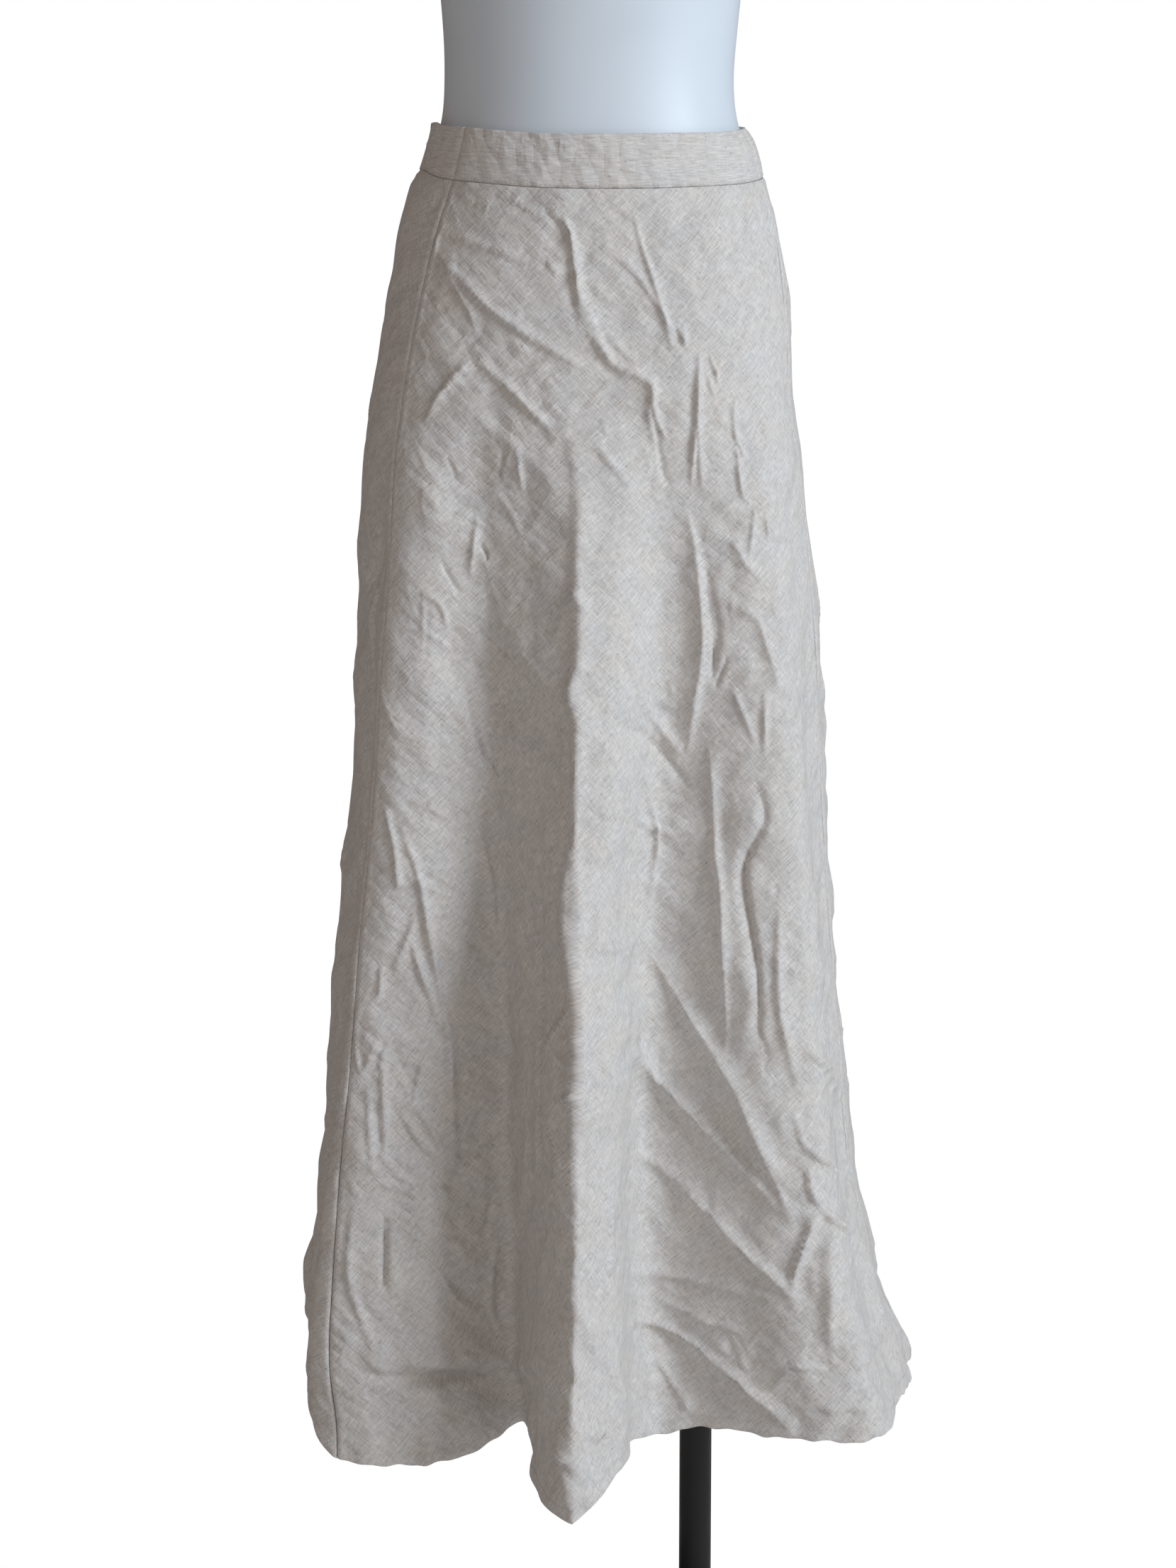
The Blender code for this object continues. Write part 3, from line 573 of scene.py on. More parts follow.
def add_crease(relief, across, down, crease):
    """Adds one crease to the relief of a panel."""
    below, above, height, sharp, points = crease
    line = smooth_line(np.array(points) / 1000.0, 0.003)
    widest = max(below, above) / 1000.0
    low = line.min(axis=0) - widest
    high = line.max(axis=0) + widest
    near = (across > low[0]) & (across < high[0]) & (down > low[1]) & (down < high[1])
    if not near.any():
        return
    place = np.stack([across[near], down[near]], axis=-1)
    tangent = unit(np.gradient(line, axis=0))
    nearest = np.argmin(((place[:, None] - line) ** 2).sum(axis=-1), axis=1)
    offset = place - line[nearest]
    direction = tangent[nearest]
    distance = direction[:, 0] * offset[:, 1] - direction[:, 1] * offset[:, 0]
    along = nearest / (len(line) - 1)
    overshoot = np.abs((direction * offset).sum(axis=-1)) > 0.004
    taper = np.sin(np.pi * np.clip(along, 0.0, 1.0)) ** 0.7
    taper[overshoot] = 0.0
    share = crease_profile(distance, below / 1000.0, above / 1000.0, sharp)
    relief[near] += height / 1000.0 * share * taper


def add_small_creases(relief, across, down, count, seed):
    """Adds short shallow creases in random places, most of them along the bias of the cloth."""
    chance = np.random.default_rng(seed)
    for _ in range(count):
        row = chance.integers(0, across.shape[0])
        column = chance.integers(0, across.shape[1])
        heading = math.radians(chance.choice(SMALL_HEADINGS) + chance.normal(0.0, SMALL_HEADING_SPREAD))
        length = chance.uniform(*SMALL_LENGTHS)
        bend = chance.normal(0.0, length * 0.09)
        start = np.array([across[row, column], down[row, column]]) * 1000.0
        step = np.array([math.cos(heading), math.sin(heading)]) * length
        side = np.array([-step[1], step[0]]) / length * bend
        points = (start, start + step / 2 + side, start + step)
        height = chance.choice([-1.0, 1.0]) * chance.uniform(*SMALL_HEIGHTS) * (0.8 + down[row, column])
        widths = chance.uniform(*SMALL_WIDTHS, 2)
        add_crease(relief, across, down, (*widths, height, SMALL_SHARP, points))


def lattice(across, down, size, stretch, heading, chance):
    """Places in a lattice of cells that is stretched along a heading, and the cell each lies in."""
    along = across * math.cos(heading) + down * math.sin(heading)
    beside = -across * math.sin(heading) + down * math.cos(heading)
    place = np.stack([along / (size * stretch), beside / size]) + 40.0 + chance.uniform(0.0, 20.0)
    return place, np.floor(place).astype(int)


def lattice_noise(across, down, size, stretch, heading, chance):
    """Smooth noise between -1 and 1 in cells of a size, stretched along a heading."""
    place, cell = lattice(across, down, size, stretch, heading, chance)
    share = place - cell
    share = share**3 * (share * (share * 6.0 - 15.0) + 10.0)
    values = chance.uniform(-1.0, 1.0, (LATTICE_SIZE, LATTICE_SIZE))
    x, y = cell % (LATTICE_SIZE - 1)
    upper = values[x, y] * (1.0 - share[0]) + values[x + 1, y] * share[0]
    lower = values[x, y + 1] * (1.0 - share[0]) + values[x + 1, y + 1] * share[0]
    return upper * (1.0 - share[1]) + lower * share[1]


def facets(across, down, size, stretch, heading, chance):
    """Slopes around scattered points, which meet in straight crisp creases as in crumpled cloth."""
    place, cell = lattice(across, down, size, stretch, heading, chance)
    points = chance.uniform(0.0, 1.0, (2, LATTICE_SIZE, LATTICE_SIZE))
    nearest = np.full(across.shape, 9.0)
    for right in (-1, 0, 1):
        for below in (-1, 0, 1):
            x, y = cell[0] + right, cell[1] + below
            gap_along = x + points[0, x % LATTICE_SIZE, y % LATTICE_SIZE] - place[0]
            gap_beside = y + points[1, x % LATTICE_SIZE, y % LATTICE_SIZE] - place[1]
            nearest = np.minimum(nearest, gap_along**2 + gap_beside**2)
    return np.sqrt(nearest + 0.01) - 0.45


def crumple(across, down, seed):
    """The unevenness of worn linen: soft waves, and facets that meet in creases on the bias."""
    chance = np.random.default_rng(seed)
    relief = WAVE_DEPTH * lattice_noise(across, down, WAVE_SIZE, 1.6, 1.1, chance)
    bend_across = across + WANDER_DEPTH * lattice_noise(across, down, WANDER_SIZE, 1.0, 0.0, chance)
    bend_down = down + WANDER_DEPTH * lattice_noise(across, down, WANDER_SIZE, 1.0, 0.0, chance)
    for size, stretch, heading, depth in CRUMPLE:
        where = 0.60 + 0.60 * lattice_noise(across, down, PATCH_SIZE, 1.0, 0.4, chance)
        slopes = facets(bend_across, bend_down, size, stretch, math.radians(heading), chance)
        relief += depth * np.clip(where, 0.1, 1.1) * slopes
    return relief


def seam_shares(columns):
    """Shares across a sewn piece, with closer columns beside its seams."""
    edge = (0.0, 0.0012, 0.0030)
    middle = np.linspace(0.0060, 0.9940, columns + 1 - 2 * len(edge))
    return np.concatenate([edge, middle, 1.0 - np.array(edge)[::-1]])


def panel_points(span, columns, rows):
    """A skirt panel's grid, from the waist seam down and from one side seam to the other."""
    start, end = span
    shares = seam_shares(columns)
    falls = np.linspace(0.0, 1.0, rows + 1)[:, None]
    turn = start + (end - start) * shares
    _, seam, hem = edge_heights(turn)
    hem = hem + HEM_WOBBLE * sum(np.sin(waves * turn + shift) for waves, shift in HEM_WAVES)
    height = seam - SEAM_GAP / 2 + (hem - seam + SEAM_GAP / 2) * falls
    half_gap = SEAM_GAP / 2 / sample(SECTIONS, height)[0]
    angle = start + half_gap + (end - start - 2 * half_gap) * shares
    return cloth_points(angle, height)


def side_distance(across):
    """Distance along the cloth to the nearer side seam."""
    return np.minimum(across - across[:, [0]], across[:, [-1]] - across)


def turned_hem(points, normals, across, down):
    """Adds the rows that fold the hem under and take it up inside the panel."""
    downwards = unit(points[-1] - points[-2])
    middle = points[-1] - normals[-1] * HEM_TURN
    rows, facings, crosswise, lengths = [points], [normals], [across], [down]
    for turn in (0.25 * np.pi, 0.5 * np.pi, 0.75 * np.pi):
        facing = normals[-1] * math.cos(turn) + downwards * math.sin(turn)
        rows.append((middle + facing * HEM_TURN)[None])
        facings.append(facing[None])
        crosswise.append(across[-1:])
        lengths.append(down[-1:] + HEM_TURN * turn)
    for back in range(4):
        row = -1 - back
        rows.append((points[row] - 2 * HEM_TURN * normals[row])[None])
        facings.append(-normals[row][None])
        crosswise.append(across[row][None])
        lengths.append((2 * down[-1] - down[row] + HEM_TURN * np.pi)[None])
    return tuple(np.concatenate(parts) for parts in (rows, facings, crosswise, lengths))


def turned_sides(points, facings, across, down, pressed_under):
    """Adds the columns of the seam allowances, turned back inside or pressed under the next piece."""
    inner = points - facings * ALLOWANCE_GAP
    if pressed_under:
        sides = []
        for edge, beside in ((0, 3), (-1, -4)):
            outwards = unit(points[:, [edge]] - points[:, [beside]])
            sides.append([
                inner[:, [edge]] + outwards * reach - facings[:, [edge]] * drop
                for reach, drop in PRESSED_STEPS
            ])
        left, right = sides[0][::-1], sides[1]
    else:
        left = [inner[:, [5]], inner[:, [3]], inner[:, [0]]]
        right = [inner[:, [-1]], inner[:, [-4]], inner[:, [-6]]]
    points = np.concatenate([*left, points, *right], axis=1)
    shares = (1.0, 0.5, 0.05)
    left_across = [across[:, [0]] - ALLOWANCE_WIDTH * share for share in shares]
    right_across = [across[:, [-1]] + ALLOWANCE_WIDTH * share for share in shares[::-1]]
    across = np.concatenate([*left_across, across, *right_across], axis=1)
    added = len(shares)
    down = np.concatenate([down[:, [0]]] * added + [down] + [down[:, [-1]]] * added, axis=1)
    return points, across, down


def grid_mesh(name, points, across, down, closed=False):
    """A mesh on a grid of points, with its flat lengths in metres as its UV map."""
    rows, columns = points.shape[:2]
    index = np.arange(rows * columns).reshape(rows, columns)
    if closed:
        index = np.concatenate([index, index[:, :1]], axis=1)
    corners = (index[:-1, :-1], index[1:, :-1], index[1:, 1:], index[:-1, 1:])
    faces = np.stack(corners, axis=-1).reshape(-1, 4)
    mesh = bpy.data.meshes.new(name)
    mesh.from_pydata(points.reshape(-1, 3).tolist(), [], faces.tolist())
    flat = np.stack([across.ravel(), -down.ravel()], axis=-1)
    layer = mesh.uv_layers.new(name="cloth")
    layer.data.foreach_set("uv", flat[faces.ravel()].ravel().astype(np.float32))
    mesh.shade_smooth()
    return mesh


def add_piece(name, mesh, material):
    """A finished piece at the origin, which rides on the part's one body."""
    piece = bpy.data.objects.new(name, mesh)
    bpy.context.scene.collection.objects.link(piece)
    mesh.materials.clear()
    mesh.materials.append(material)
    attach(piece, "root")
    return piece


def panel_relief(across, down, creases, small_creases, seed):
    """How far the cloth stands out from its plain form, or in behind it where negative."""
    # The crumpling is stronger in the lower half, where the cloth hangs free
    relief = crumple(across, down, seed) * (0.9 + 0.7 * np.clip((down - 0.20) / 0.40, 0.0, 1.0))
    for crease in creases:
        add_crease(relief, across, down, crease)
    add_small_creases(relief, across, down, small_creases, seed + 1)
    # The waist seam and the hem's stitches draw the cloth into short puckers
    above_hem = down[-1] - down
    pucker = np.sin(across / 0.0056 + 2.0 * np.sin(across / 0.031)) * np.sin(across / 0.083 + 1.0)
    relief += PUCKER_AT_WAIST * pucker * np.exp(-down / 0.012)
    relief += PUCKER_AT_HEM * pucker * np.exp(-((above_hem - HEM_DEPTH) / 0.007) ** 2)
    # Over the form a trough can be only as deep as the room under the cloth
    room = 0.0008 + 0.0016 * np.clip(down / 0.08, 0.0, 1.0) + 0.0120 * (down > 0.33)
    relief = np.maximum(relief, -room)
    beside = side_distance(across)
    calm = np.clip(down / 0.010, 0.0, 1.0) * np.clip(beside / SEAM_CALM, 0.0, 1.0) ** 0.5
    relief = relief * calm
    # The turned hem is thicker than the cloth, and its stitches draw it in
    relief += HEM_EXTRA * np.clip(1.0 - above_hem / HEM_DEPTH, 0.0, 1.0) ** 0.3
    relief -= HEM_EXTRA * np.exp(-((above_hem - HEM_DEPTH) / 0.0012) ** 2)
    # The allowances under the seams raise a low ridge beside each one
    ditch = np.minimum(beside, down)
    relief += SEAM_RIDGE * np.exp(-((ditch - SEAM_RIDGE_PLACE) / SEAM_RIDGE_WIDTH) ** 2)
    relief -= SEAM_DITCH * np.clip(1.0 - ditch / SEAM_DITCH_WIDTH, 0.0, 1.0) ** 2
    return relief


def make_panel(name, span, grid, creases, small_creases, seed, material):
    """One skirt panel as a thin sheet with its creases, its turned hem and its seam allowances."""
    points = panel_points(span, *grid)
    normals = grid_normals(points)
    across, down = flat_lengths(points)
    relief = panel_relief(across, down, creases, small_creases, seed)
    points = points + normals * relief[..., None]
    normals = grid_normals(points)
    hem_line = stitch_line(points, normals, down, down[-1] - HEM_DEPTH)
    points, facings, across, down = turned_hem(points, normals, across, down)
    pressed_under = span == FRONT_SPAN
    points, across, down = turned_sides(points, facings, across, down, pressed_under)
    piece = add_piece(name, grid_mesh(name, points, across, down), material)
    return piece, hem_line


def stitch_line(points, normals, down, level):
    """Points just outside the cloth at a length down each column, clear of the side seams."""
    line = []
    for column in range(STITCH_CLEAR_COLUMNS, points.shape[1] - STITCH_CLEAR_COLUMNS):
        row = np.interp(level[column], down[:, column], np.arange(len(down)))
        low = min(int(row), len(down) - 2)
        share = row - low
        place = points[low, column] * (1.0 - share) + points[low + 1, column] * share
        line.append(place + normals[low, column] * THREAD_RADIUS * 0.6)
    return np.array(line)


def band_relief(across, up, gathered, seed):
    """The fine lengthwise creases and short puckers of the waistband."""
    relief = BAND_CRUMPLE * crumple(across, up, seed)
    chance = np.random.default_rng(seed + 1)
    reach = across.max() - across.min()
    for _ in range(BAND_CREASE_COUNT_BACK if gathered else BAND_CREASE_COUNT_FRONT):
        start = across.min() + reach * chance.uniform(0.0, 0.92)
        level = chance.uniform(*BAND_CREASE_LEVELS)
        length = chance.uniform(*BAND_CREASE_LENGTHS)
        rise = chance.normal(0.0, 0.0025)
        points = ((start, level), (start + length / 2, level + rise), (start + length, level + rise * 1.6))
        height = chance.choice([-1.0, 1.0]) * chance.uniform(*BAND_CREASE_HEIGHTS)
        add_crease(relief, across, up, (2.5, 4.0, height, 0.5, np.array(points) * 1000.0))
    for _ in range(BAND_PUCKER_COUNT):
        start = across.min() + reach * chance.uniform(0.0, 1.0)
        lean = chance.normal(0.0, 0.0015)
        length = chance.uniform(*BAND_PUCKER_LENGTHS)
        points = ((start, 0.001), (start + lean, length))
        height = chance.uniform(*BAND_PUCKER_HEIGHTS)
        add_crease(relief, across, up, (1.6, 2.2, height, 0.4, np.array(points) * 1000.0))
    return relief


def make_band(name, span, columns, seed, gathered, material):
    """One waistband piece: a strip folded over its top edge, closed at its seams."""
    start, end = span
    shares = seam_shares(columns)
    steps = np.linspace(0.0, 1.0, BAND_ROWS)[:, None]
    top, seam, _ = edge_heights(start + (end - start) * shares)
    roll = BAND_THICKNESS / 2
    top = top - roll
    height = top + (seam + SEAM_GAP / 2 - top) * steps
    half_gap = SEAM_GAP / 2 / sample(SECTIONS, height)[0]
    angle = start + half_gap + (end - start - 2 * half_gap) * shares
    base = cloth_points(angle, height)
    normals = grid_normals(base)
    across, down = flat_lengths(base)
    relief = band_relief(across, down, gathered, seed)
    ditch = np.minimum(side_distance(across), down[-1] - down)
    relief *= np.clip(ditch / BAND_CALM, 0.0, 1.0) * np.clip(0.3 + down / BAND_CALM, 0.0, 1.0)
    relief -= BAND_DITCH * np.clip(1.0 - ditch / SEAM_DITCH_WIDTH, 0.0, 1.0) ** 2
    # The layers inside round the band out between its edges
    rounding = np.clip(np.sin(np.pi * steps), 0.0, 1.0) ** 0.5
    relief += BAND_PADDING * rounding * np.clip(ditch / 0.004, 0.0, 1.0)
    outer = base + normals * relief[..., None]
    inner = base - normals * BAND_THICKNESS
    middle = (outer + inner) / 2
    radius = outer[0] - middle[0]
    upwards = np.array((0.0, 0.0, roll))
    turns = np.pi * np.array((0.8, 0.6, 0.5, 0.4, 0.2))
    fold = [middle[0] + radius * math.cos(turn) + upwards * math.sin(turn) for turn in turns]
    closing = outer[-1] - normals[-1] * BAND_CLOSING
    fold_length = np.linspace(-BAND_FOLD_LENGTHS[0], -BAND_FOLD_LENGTHS[1], len(turns))[:, None]
    fold_length = fold_length + 0.0 * down[:1]
    folded_ends = np.repeat(middle[:1], len(turns), axis=0)
    folded_across = np.repeat(across[:1], len(turns), axis=0)
    points = np.concatenate([inner[::-3], fold, outer, closing[None]])
    ends = np.concatenate([middle[::-3], folded_ends, middle, middle[-1:]])
    up = np.concatenate([-down[::-3] - BAND_INNER_LENGTH, fold_length, down, down[-1:] + BAND_CLOSING])
    across = np.concatenate([across[::-3], folded_across, across, across[-1:]])
    points = np.concatenate([ends[:, [0]], points, ends[:, [-1]]], axis=1)
    across = np.concatenate([across[:, [0]] - BAND_END, across, across[:, [-1]] + BAND_END], axis=1)
    up = np.concatenate([up[:, [0]], up, up[:, [-1]]], axis=1)
    clear = slice(STITCH_CLEAR_COLUMNS, -STITCH_CLEAR_COLUMNS)
    seam_line = outer[-2, clear] + normals[-2, clear] * THREAD_RADIUS * 0.4
    return add_piece(name, grid_mesh(name, points, across, up), material), seam_line


def make_torso(material):
    """The dress form's smooth shell, closed at the neck and underneath."""
    # Rows where the form curves in underneath, then the rest up to the neck
    heights = np.concatenate([
        np.linspace(FORM_SECTIONS[0][0], FORM_SECTIONS[2][0], 14)[:-1],
        np.linspace(FORM_SECTIONS[2][0], FORM_SECTIONS[-1][0], 190),
    ])
    angle = np.linspace(0.0, 2 * np.pi, FORM_COLUMNS, endpoint=False)[None] + 0.0 * heights[:, None]
    rings, _ = ring_points((*sample(FORM_SECTIONS, heights[:, None] + 0.0 * angle), 0.0), angle)
    points = np.concatenate([rings, heights[:, None, None] + 0.0 * rings[..., :1]], axis=-1)
    under = [points[0] * np.array((share, share, 1.0)) for share in (0.15, 0.5, 0.94, 0.985)]
    neck = [points[-1] * np.array((share, share, 1.0)) for share in (0.985, 0.94, 0.5)]
    points = np.concatenate([under, points, neck])[::-1]
    across = angle[0] * FORM_MEAN_RADIUS + 0.0 * points[..., 0]
    mesh = grid_mesh("form_torso_shell", points, across, -points[..., 2], closed=True)
    shape = bmesh.new()
    shape.from_mesh(mesh)
    shape.verts.ensure_lookup_table()
    shape.faces.new(shape.verts[:FORM_COLUMNS])
    shape.faces.new(shape.verts[-FORM_COLUMNS:][::-1])
    bmesh.ops.recalc_face_normals(shape, faces=shape.faces)
    shape.to_mesh(mesh)
    shape.free()
    mesh.shade_smooth()
    mesh.set_sharp_from_angle(angle=math.radians(50.0))
    return add_piece("form_torso_shell", mesh, material)


def make_turned(name, profile, centre, bevel, material, steps=96):
    """A turned piece from the radii and heights of its profile, with softened edges."""
    shape = bmesh.new()
    line = [
        shape.verts.new((centre[0] + radius, centre[1], centre[2] + height))
        for radius, height in profile
    ]
    for start, end in zip(line, line[1:]):
        shape.edges.new((start, end))
    bmesh.ops.spin(
        shape,
        geom=shape.verts[:] + shape.edges[:],
        cent=centre,
        axis=(0.0, 0.0, 1.0),
        angle=2 * math.pi,
        steps=steps,
        use_merge=True,
    )
    bmesh.ops.remove_doubles(shape, verts=shape.verts[:], dist=0.00001)
    bmesh.ops.recalc_face_normals(shape, faces=shape.faces[:])
    mesh = bpy.data.meshes.new(name)
    shape.to_mesh(mesh)
    shape.free()
    piece = add_piece(name, mesh, material)
    edge = piece.modifiers.new("softened edges", "BEVEL")
    edge.width = bevel
    edge.segments = 3
    edge.limit_method = "ANGLE"
    edge.angle_limit = math.radians(30.0)
    edge.harden_normals = True
    mesh.shade_smooth()
    return piece


def linear(code):
    """Linear red, green, blue and alpha of an sRGB hex colour."""
    values = [int(code[place:place + 2], 16) / 255.0 for place in (1, 3, 5)]
    curved = [value / 12.92 if value <= 0.04045 else ((value + 0.055) / 1.055) ** 2.4 for value in values]
    return (*curved, 1.0)


def add_node(tree, kind, inputs=None, **settings):
    """A node with its settings, and each input given a value or linked to another node's output."""
    node = tree.nodes.new(kind)
    for name, value in settings.items():
        setattr(node, name, value)
    for name, value in (inputs or {}).items():
        if isinstance(value, bpy.types.NodeSocket):
            tree.links.new(value, node.inputs[name])
        else:
            node.inputs[name].default_value = value
    return node


def new_material(name, roughness, ior=1.5, specular=0.5):
    """A Principled material and its shader node."""
    material = bpy.data.materials.new(name)
    material.use_nodes = True
    shader = material.node_tree.nodes["Principled BSDF"]
    shader.inputs["Roughness"].default_value = roughness
    shader.inputs["IOR"].default_value = ior
    shader.inputs["Specular IOR Level"].default_value = specular
    return material, shader


def cloth_pattern(tree, kind, flat, turn, across, along, place, inputs, **settings):
    """A pattern on the flat cloth: across and along are the width and length of its cells in metres."""
    laid = add_node(tree, "ShaderNodeMapping", {
        "Vector": flat,
        "Location": (place, place, 0.0),
        "Rotation": (0.0, 0.0, math.radians(turn)),
        "Scale": (along, across, 1.0),
    }, vector_type="TEXTURE")
    return add_node(tree, kind, {"Vector": laid.outputs["Vector"], "Scale": 1.0, **inputs}, **settings)


def streaks(tree, flat, turn, across, along, detail, place=0.0):
    """Noise in streaks, as yarns and slubs lie."""
    inputs = {"Detail": detail, "Roughness": 0.55}
    laid = (flat, turn, across, along, place)
    noise = cloth_pattern(tree, "ShaderNodeTexNoise", *laid, inputs, noise_dimensions="2D")
    return noise.outputs["Fac"]


def crumple_cells(tree, flat, turn, across, along, place):
    """Distance from scattered points in stretched cells, which meet in crisp straight lines."""
    laid = (flat, turn, across, along, place)
    cells = cloth_pattern(tree, "ShaderNodeTexVoronoi", *laid, {}, voronoi_dimensions="2D")
    return cells.outputs["Distance"]


def weighted_sum(tree, parts):
    """The sum of values, each of them times its share."""
    total = 0.0
    for value, share in parts:
        step = add_node(tree, "ShaderNodeMath", {0: value, 1: share, 2: total}, operation="MULTIPLY_ADD")
        total = step.outputs["Value"]
    return total


def product_of_ranges(tree, rows):
    """The product of values, each moved from one range to another and held inside it."""
    total = 1.0
    for value, low, high, to_low, to_high in rows:
        moved = add_node(tree, "ShaderNodeMapRange", {
            "Value": value,
            "From Min": low,
            "From Max": high,
            "To Min": to_low,
            "To Max": to_high,
        })
        step = add_node(tree, "ShaderNodeMath", {0: moved.outputs["Result"], 1: total}, operation="MULTIPLY")
        total = step.outputs["Value"]
    return total


def make_linen(name, bias, crosswise):
    """Washed linen, plain weave: uneven slub yarns both ways, dark flecks, matt with a faint bloom.

    Crosswise is how much the crossing yarns show beside the yarns along the bias angle.
    """
    material, shader = new_material(name, 0.86, specular=0.25)
    tree = material.node_tree
    flat = add_node(tree, "ShaderNodeUVMap", uv_map="cloth").outputs["UV"]
    # Real yarns are about 0.5 mm apart, too fine to show, so they are drawn 1.1 mm apart.
    # Streaks: turn in degrees, width and length in metres, detail, place of the noise.
    warp = streaks(tree, flat, bias, 0.0011, 0.009, 2.0)
    weft = streaks(tree, flat, bias + 90.0, 0.0011, 0.007, 2.0, 3.7)
    slub_warp = streaks(tree, flat, bias, 0.0018, 0.026, 1.0, 11.3)
    slub_weft = streaks(tree, flat, bias + 90.0, 0.0018, 0.020, 1.0, 17.9)
    cloud = streaks(tree, flat, 0.0, 0.028, 0.028, 3.0, 5.1)
    patch = streaks(tree, flat, 0.0, 0.090, 0.090, 1.0, 41.7)
    fleck = streaks(tree, flat, bias, 0.0011, 0.0045, 1.0, 23.7)
    weave = weighted_sum(tree, ((warp, 1.0), (weft, crosswise)))
    slubs = weighted_sum(tree, ((slub_warp, 1.0), (slub_weft, crosswise)))
    middle = 0.5 + 0.5 * crosswise
    shade = product_of_ranges(tree, (
        (weave, middle - 0.28, middle + 0.28, 0.84, 1.13),
        (slubs, middle - 0.26, middle + 0.28, 0.94, 1.05),
        (cloud, 0.25, 0.75, 0.965, 1.035),
        (fleck, 0.71, 0.78, 1.0, 0.70),
    ))
    tint = add_node(tree, "ShaderNodeMix", {
        "Factor": product_of_ranges(tree, ((cloud, 0.3, 0.7, 0.0, 1.0),)),
        "A": linear("#CFCBC8"),
        "B": linear("#CCC6C0"),
    }, data_type="RGBA")
    colour = add_node(tree, "ShaderNodeVectorMath", {
        0: tint.outputs["Result"], "Scale": shade,
    }, operation="SCALE")
    tree.links.new(colour.outputs["Vector"], shader.inputs["Base Color"])
    # The smallest crumples, 7 to 20 mm across, are too fine for the mesh
    wide = crumple_cells(tree, flat, bias + 8.0, 0.020, 0.046, 2.3)
    narrow = crumple_cells(tree, flat, bias + 97.0, 0.011, 0.026, 8.9)
    small = crumple_cells(tree, flat, bias - 30.0, 0.007, 0.015, 15.1)
    cells = weighted_sum(tree, ((wide, 1.6), (narrow, -1.0), (small, 0.5)))
    calmer = product_of_ranges(tree, ((patch, 0.30, 0.65, 0.35, 1.0),))
    worn = add_node(tree, "ShaderNodeMath", {0: cells, 1: calmer}, operation="MULTIPLY").outputs["Value"]
    crumples = add_node(tree, "ShaderNodeBump", {"Height": worn, "Strength": 1.0, "Distance": 0.0014})
    bump = add_node(tree, "ShaderNodeBump", {
        "Height": weighted_sum(tree, ((weave, 0.6), (slubs, 0.4))),
        "Strength": 1.0,
        "Distance": 0.00045,
        "Normal": crumples.outputs["Normal"],
    })
    tree.links.new(bump.outputs["Normal"], shader.inputs["Normal"])
    shader.inputs["Sheen Weight"].default_value = 0.12
    shader.inputs["Sheen Roughness"].default_value = 0.45
    return material


def mottled_material(name, roughness, scale, detail, dark, light):
    """A material whose shade wanders between two colours, its shader, the places and the noise."""
    material, shader = new_material(name, roughness)
    tree = material.node_tree
    place = add_node(tree, "ShaderNodeTexCoord").outputs["Object"]
    noise = add_node(tree, "ShaderNodeTexNoise", {"Vector": place, "Scale": scale, "Detail": detail})
    shade = add_node(tree, "ShaderNodeMix", {
        "Factor": noise.outputs["Fac"], "A": linear(dark), "B": linear(light),
    }, data_type="RGBA")
    tree.links.new(shade.outputs["Result"], shader.inputs["Base Color"])
    return material, shader, place, noise.outputs["Fac"]


def add_coat(material, shader, place, noise, glosses, peel_scale, peel_strength, peel_depth):
    """A coat of paint or powder: its gloss wanders with the noise, and a fine peel breaks it."""
    tree = material.node_tree
    gloss = product_of_ranges(tree, ((noise, 0.3, 0.7, *glosses),))
    tree.links.new(gloss, shader.inputs["Roughness"])
    peel = add_node(tree, "ShaderNodeTexNoise", {"Vector": place, "Scale": peel_scale, "Detail": 2.0})
    bump = add_node(tree, "ShaderNodeBump", {
        "Height": peel.outputs["Fac"], "Strength": peel_strength, "Distance": peel_depth,
    })
    tree.links.new(bump.outputs["Normal"], shader.inputs["Normal"])


def make_thread_with_painted_shade():
    """Cotton sewing thread: two plies with a soft shine, its colour wandering between a shade darker and a
    shade lighter than the linen; the darker tone is partly painted shade of the seam ditches the stitches
    lie in.
    """
    # The plies cross the thread about every 0.6 mm
    # The darker of the two colours is partly painted shade, darkening the stitches as if in the shadow of
    # their seam
    return mottled_material("twisted cotton sewing thread darkened as painted seam shade", 0.7, 1700.0, 1.0, "#B9B2A8", "#DAD5CD")[0]


def make_form_shell():
    """Moulded fibreglass with a satin white paint: faint mottling and a broad soft gloss."""
    material, shader, place, noise = mottled_material(
        "satin painted fibreglass shell", 0.42, 14.0, 4.0, "#CCD4DC", "#D4DBE2",
    )
    # Roller peel about 1.5 mm across
    add_coat(material, shader, place, noise, (0.38, 0.50), 650.0, 0.25, 0.0001)
    return material


def make_black_steel():
    """Powder-coated steel tube and plate: near black, with a fine orange peel that breaks the gloss."""
    # Handling marks about 40 mm across
    material, shader, place, noise = mottled_material(
        "black powder-coated steel", 0.38, 25.0, 5.0, "#050506", "#0A0A0B",
    )
    # Orange peel about 0.8 mm across
    add_coat(material, shader, place, noise, (0.30, 0.46), 1200.0, 0.5, 0.00008)
    return material


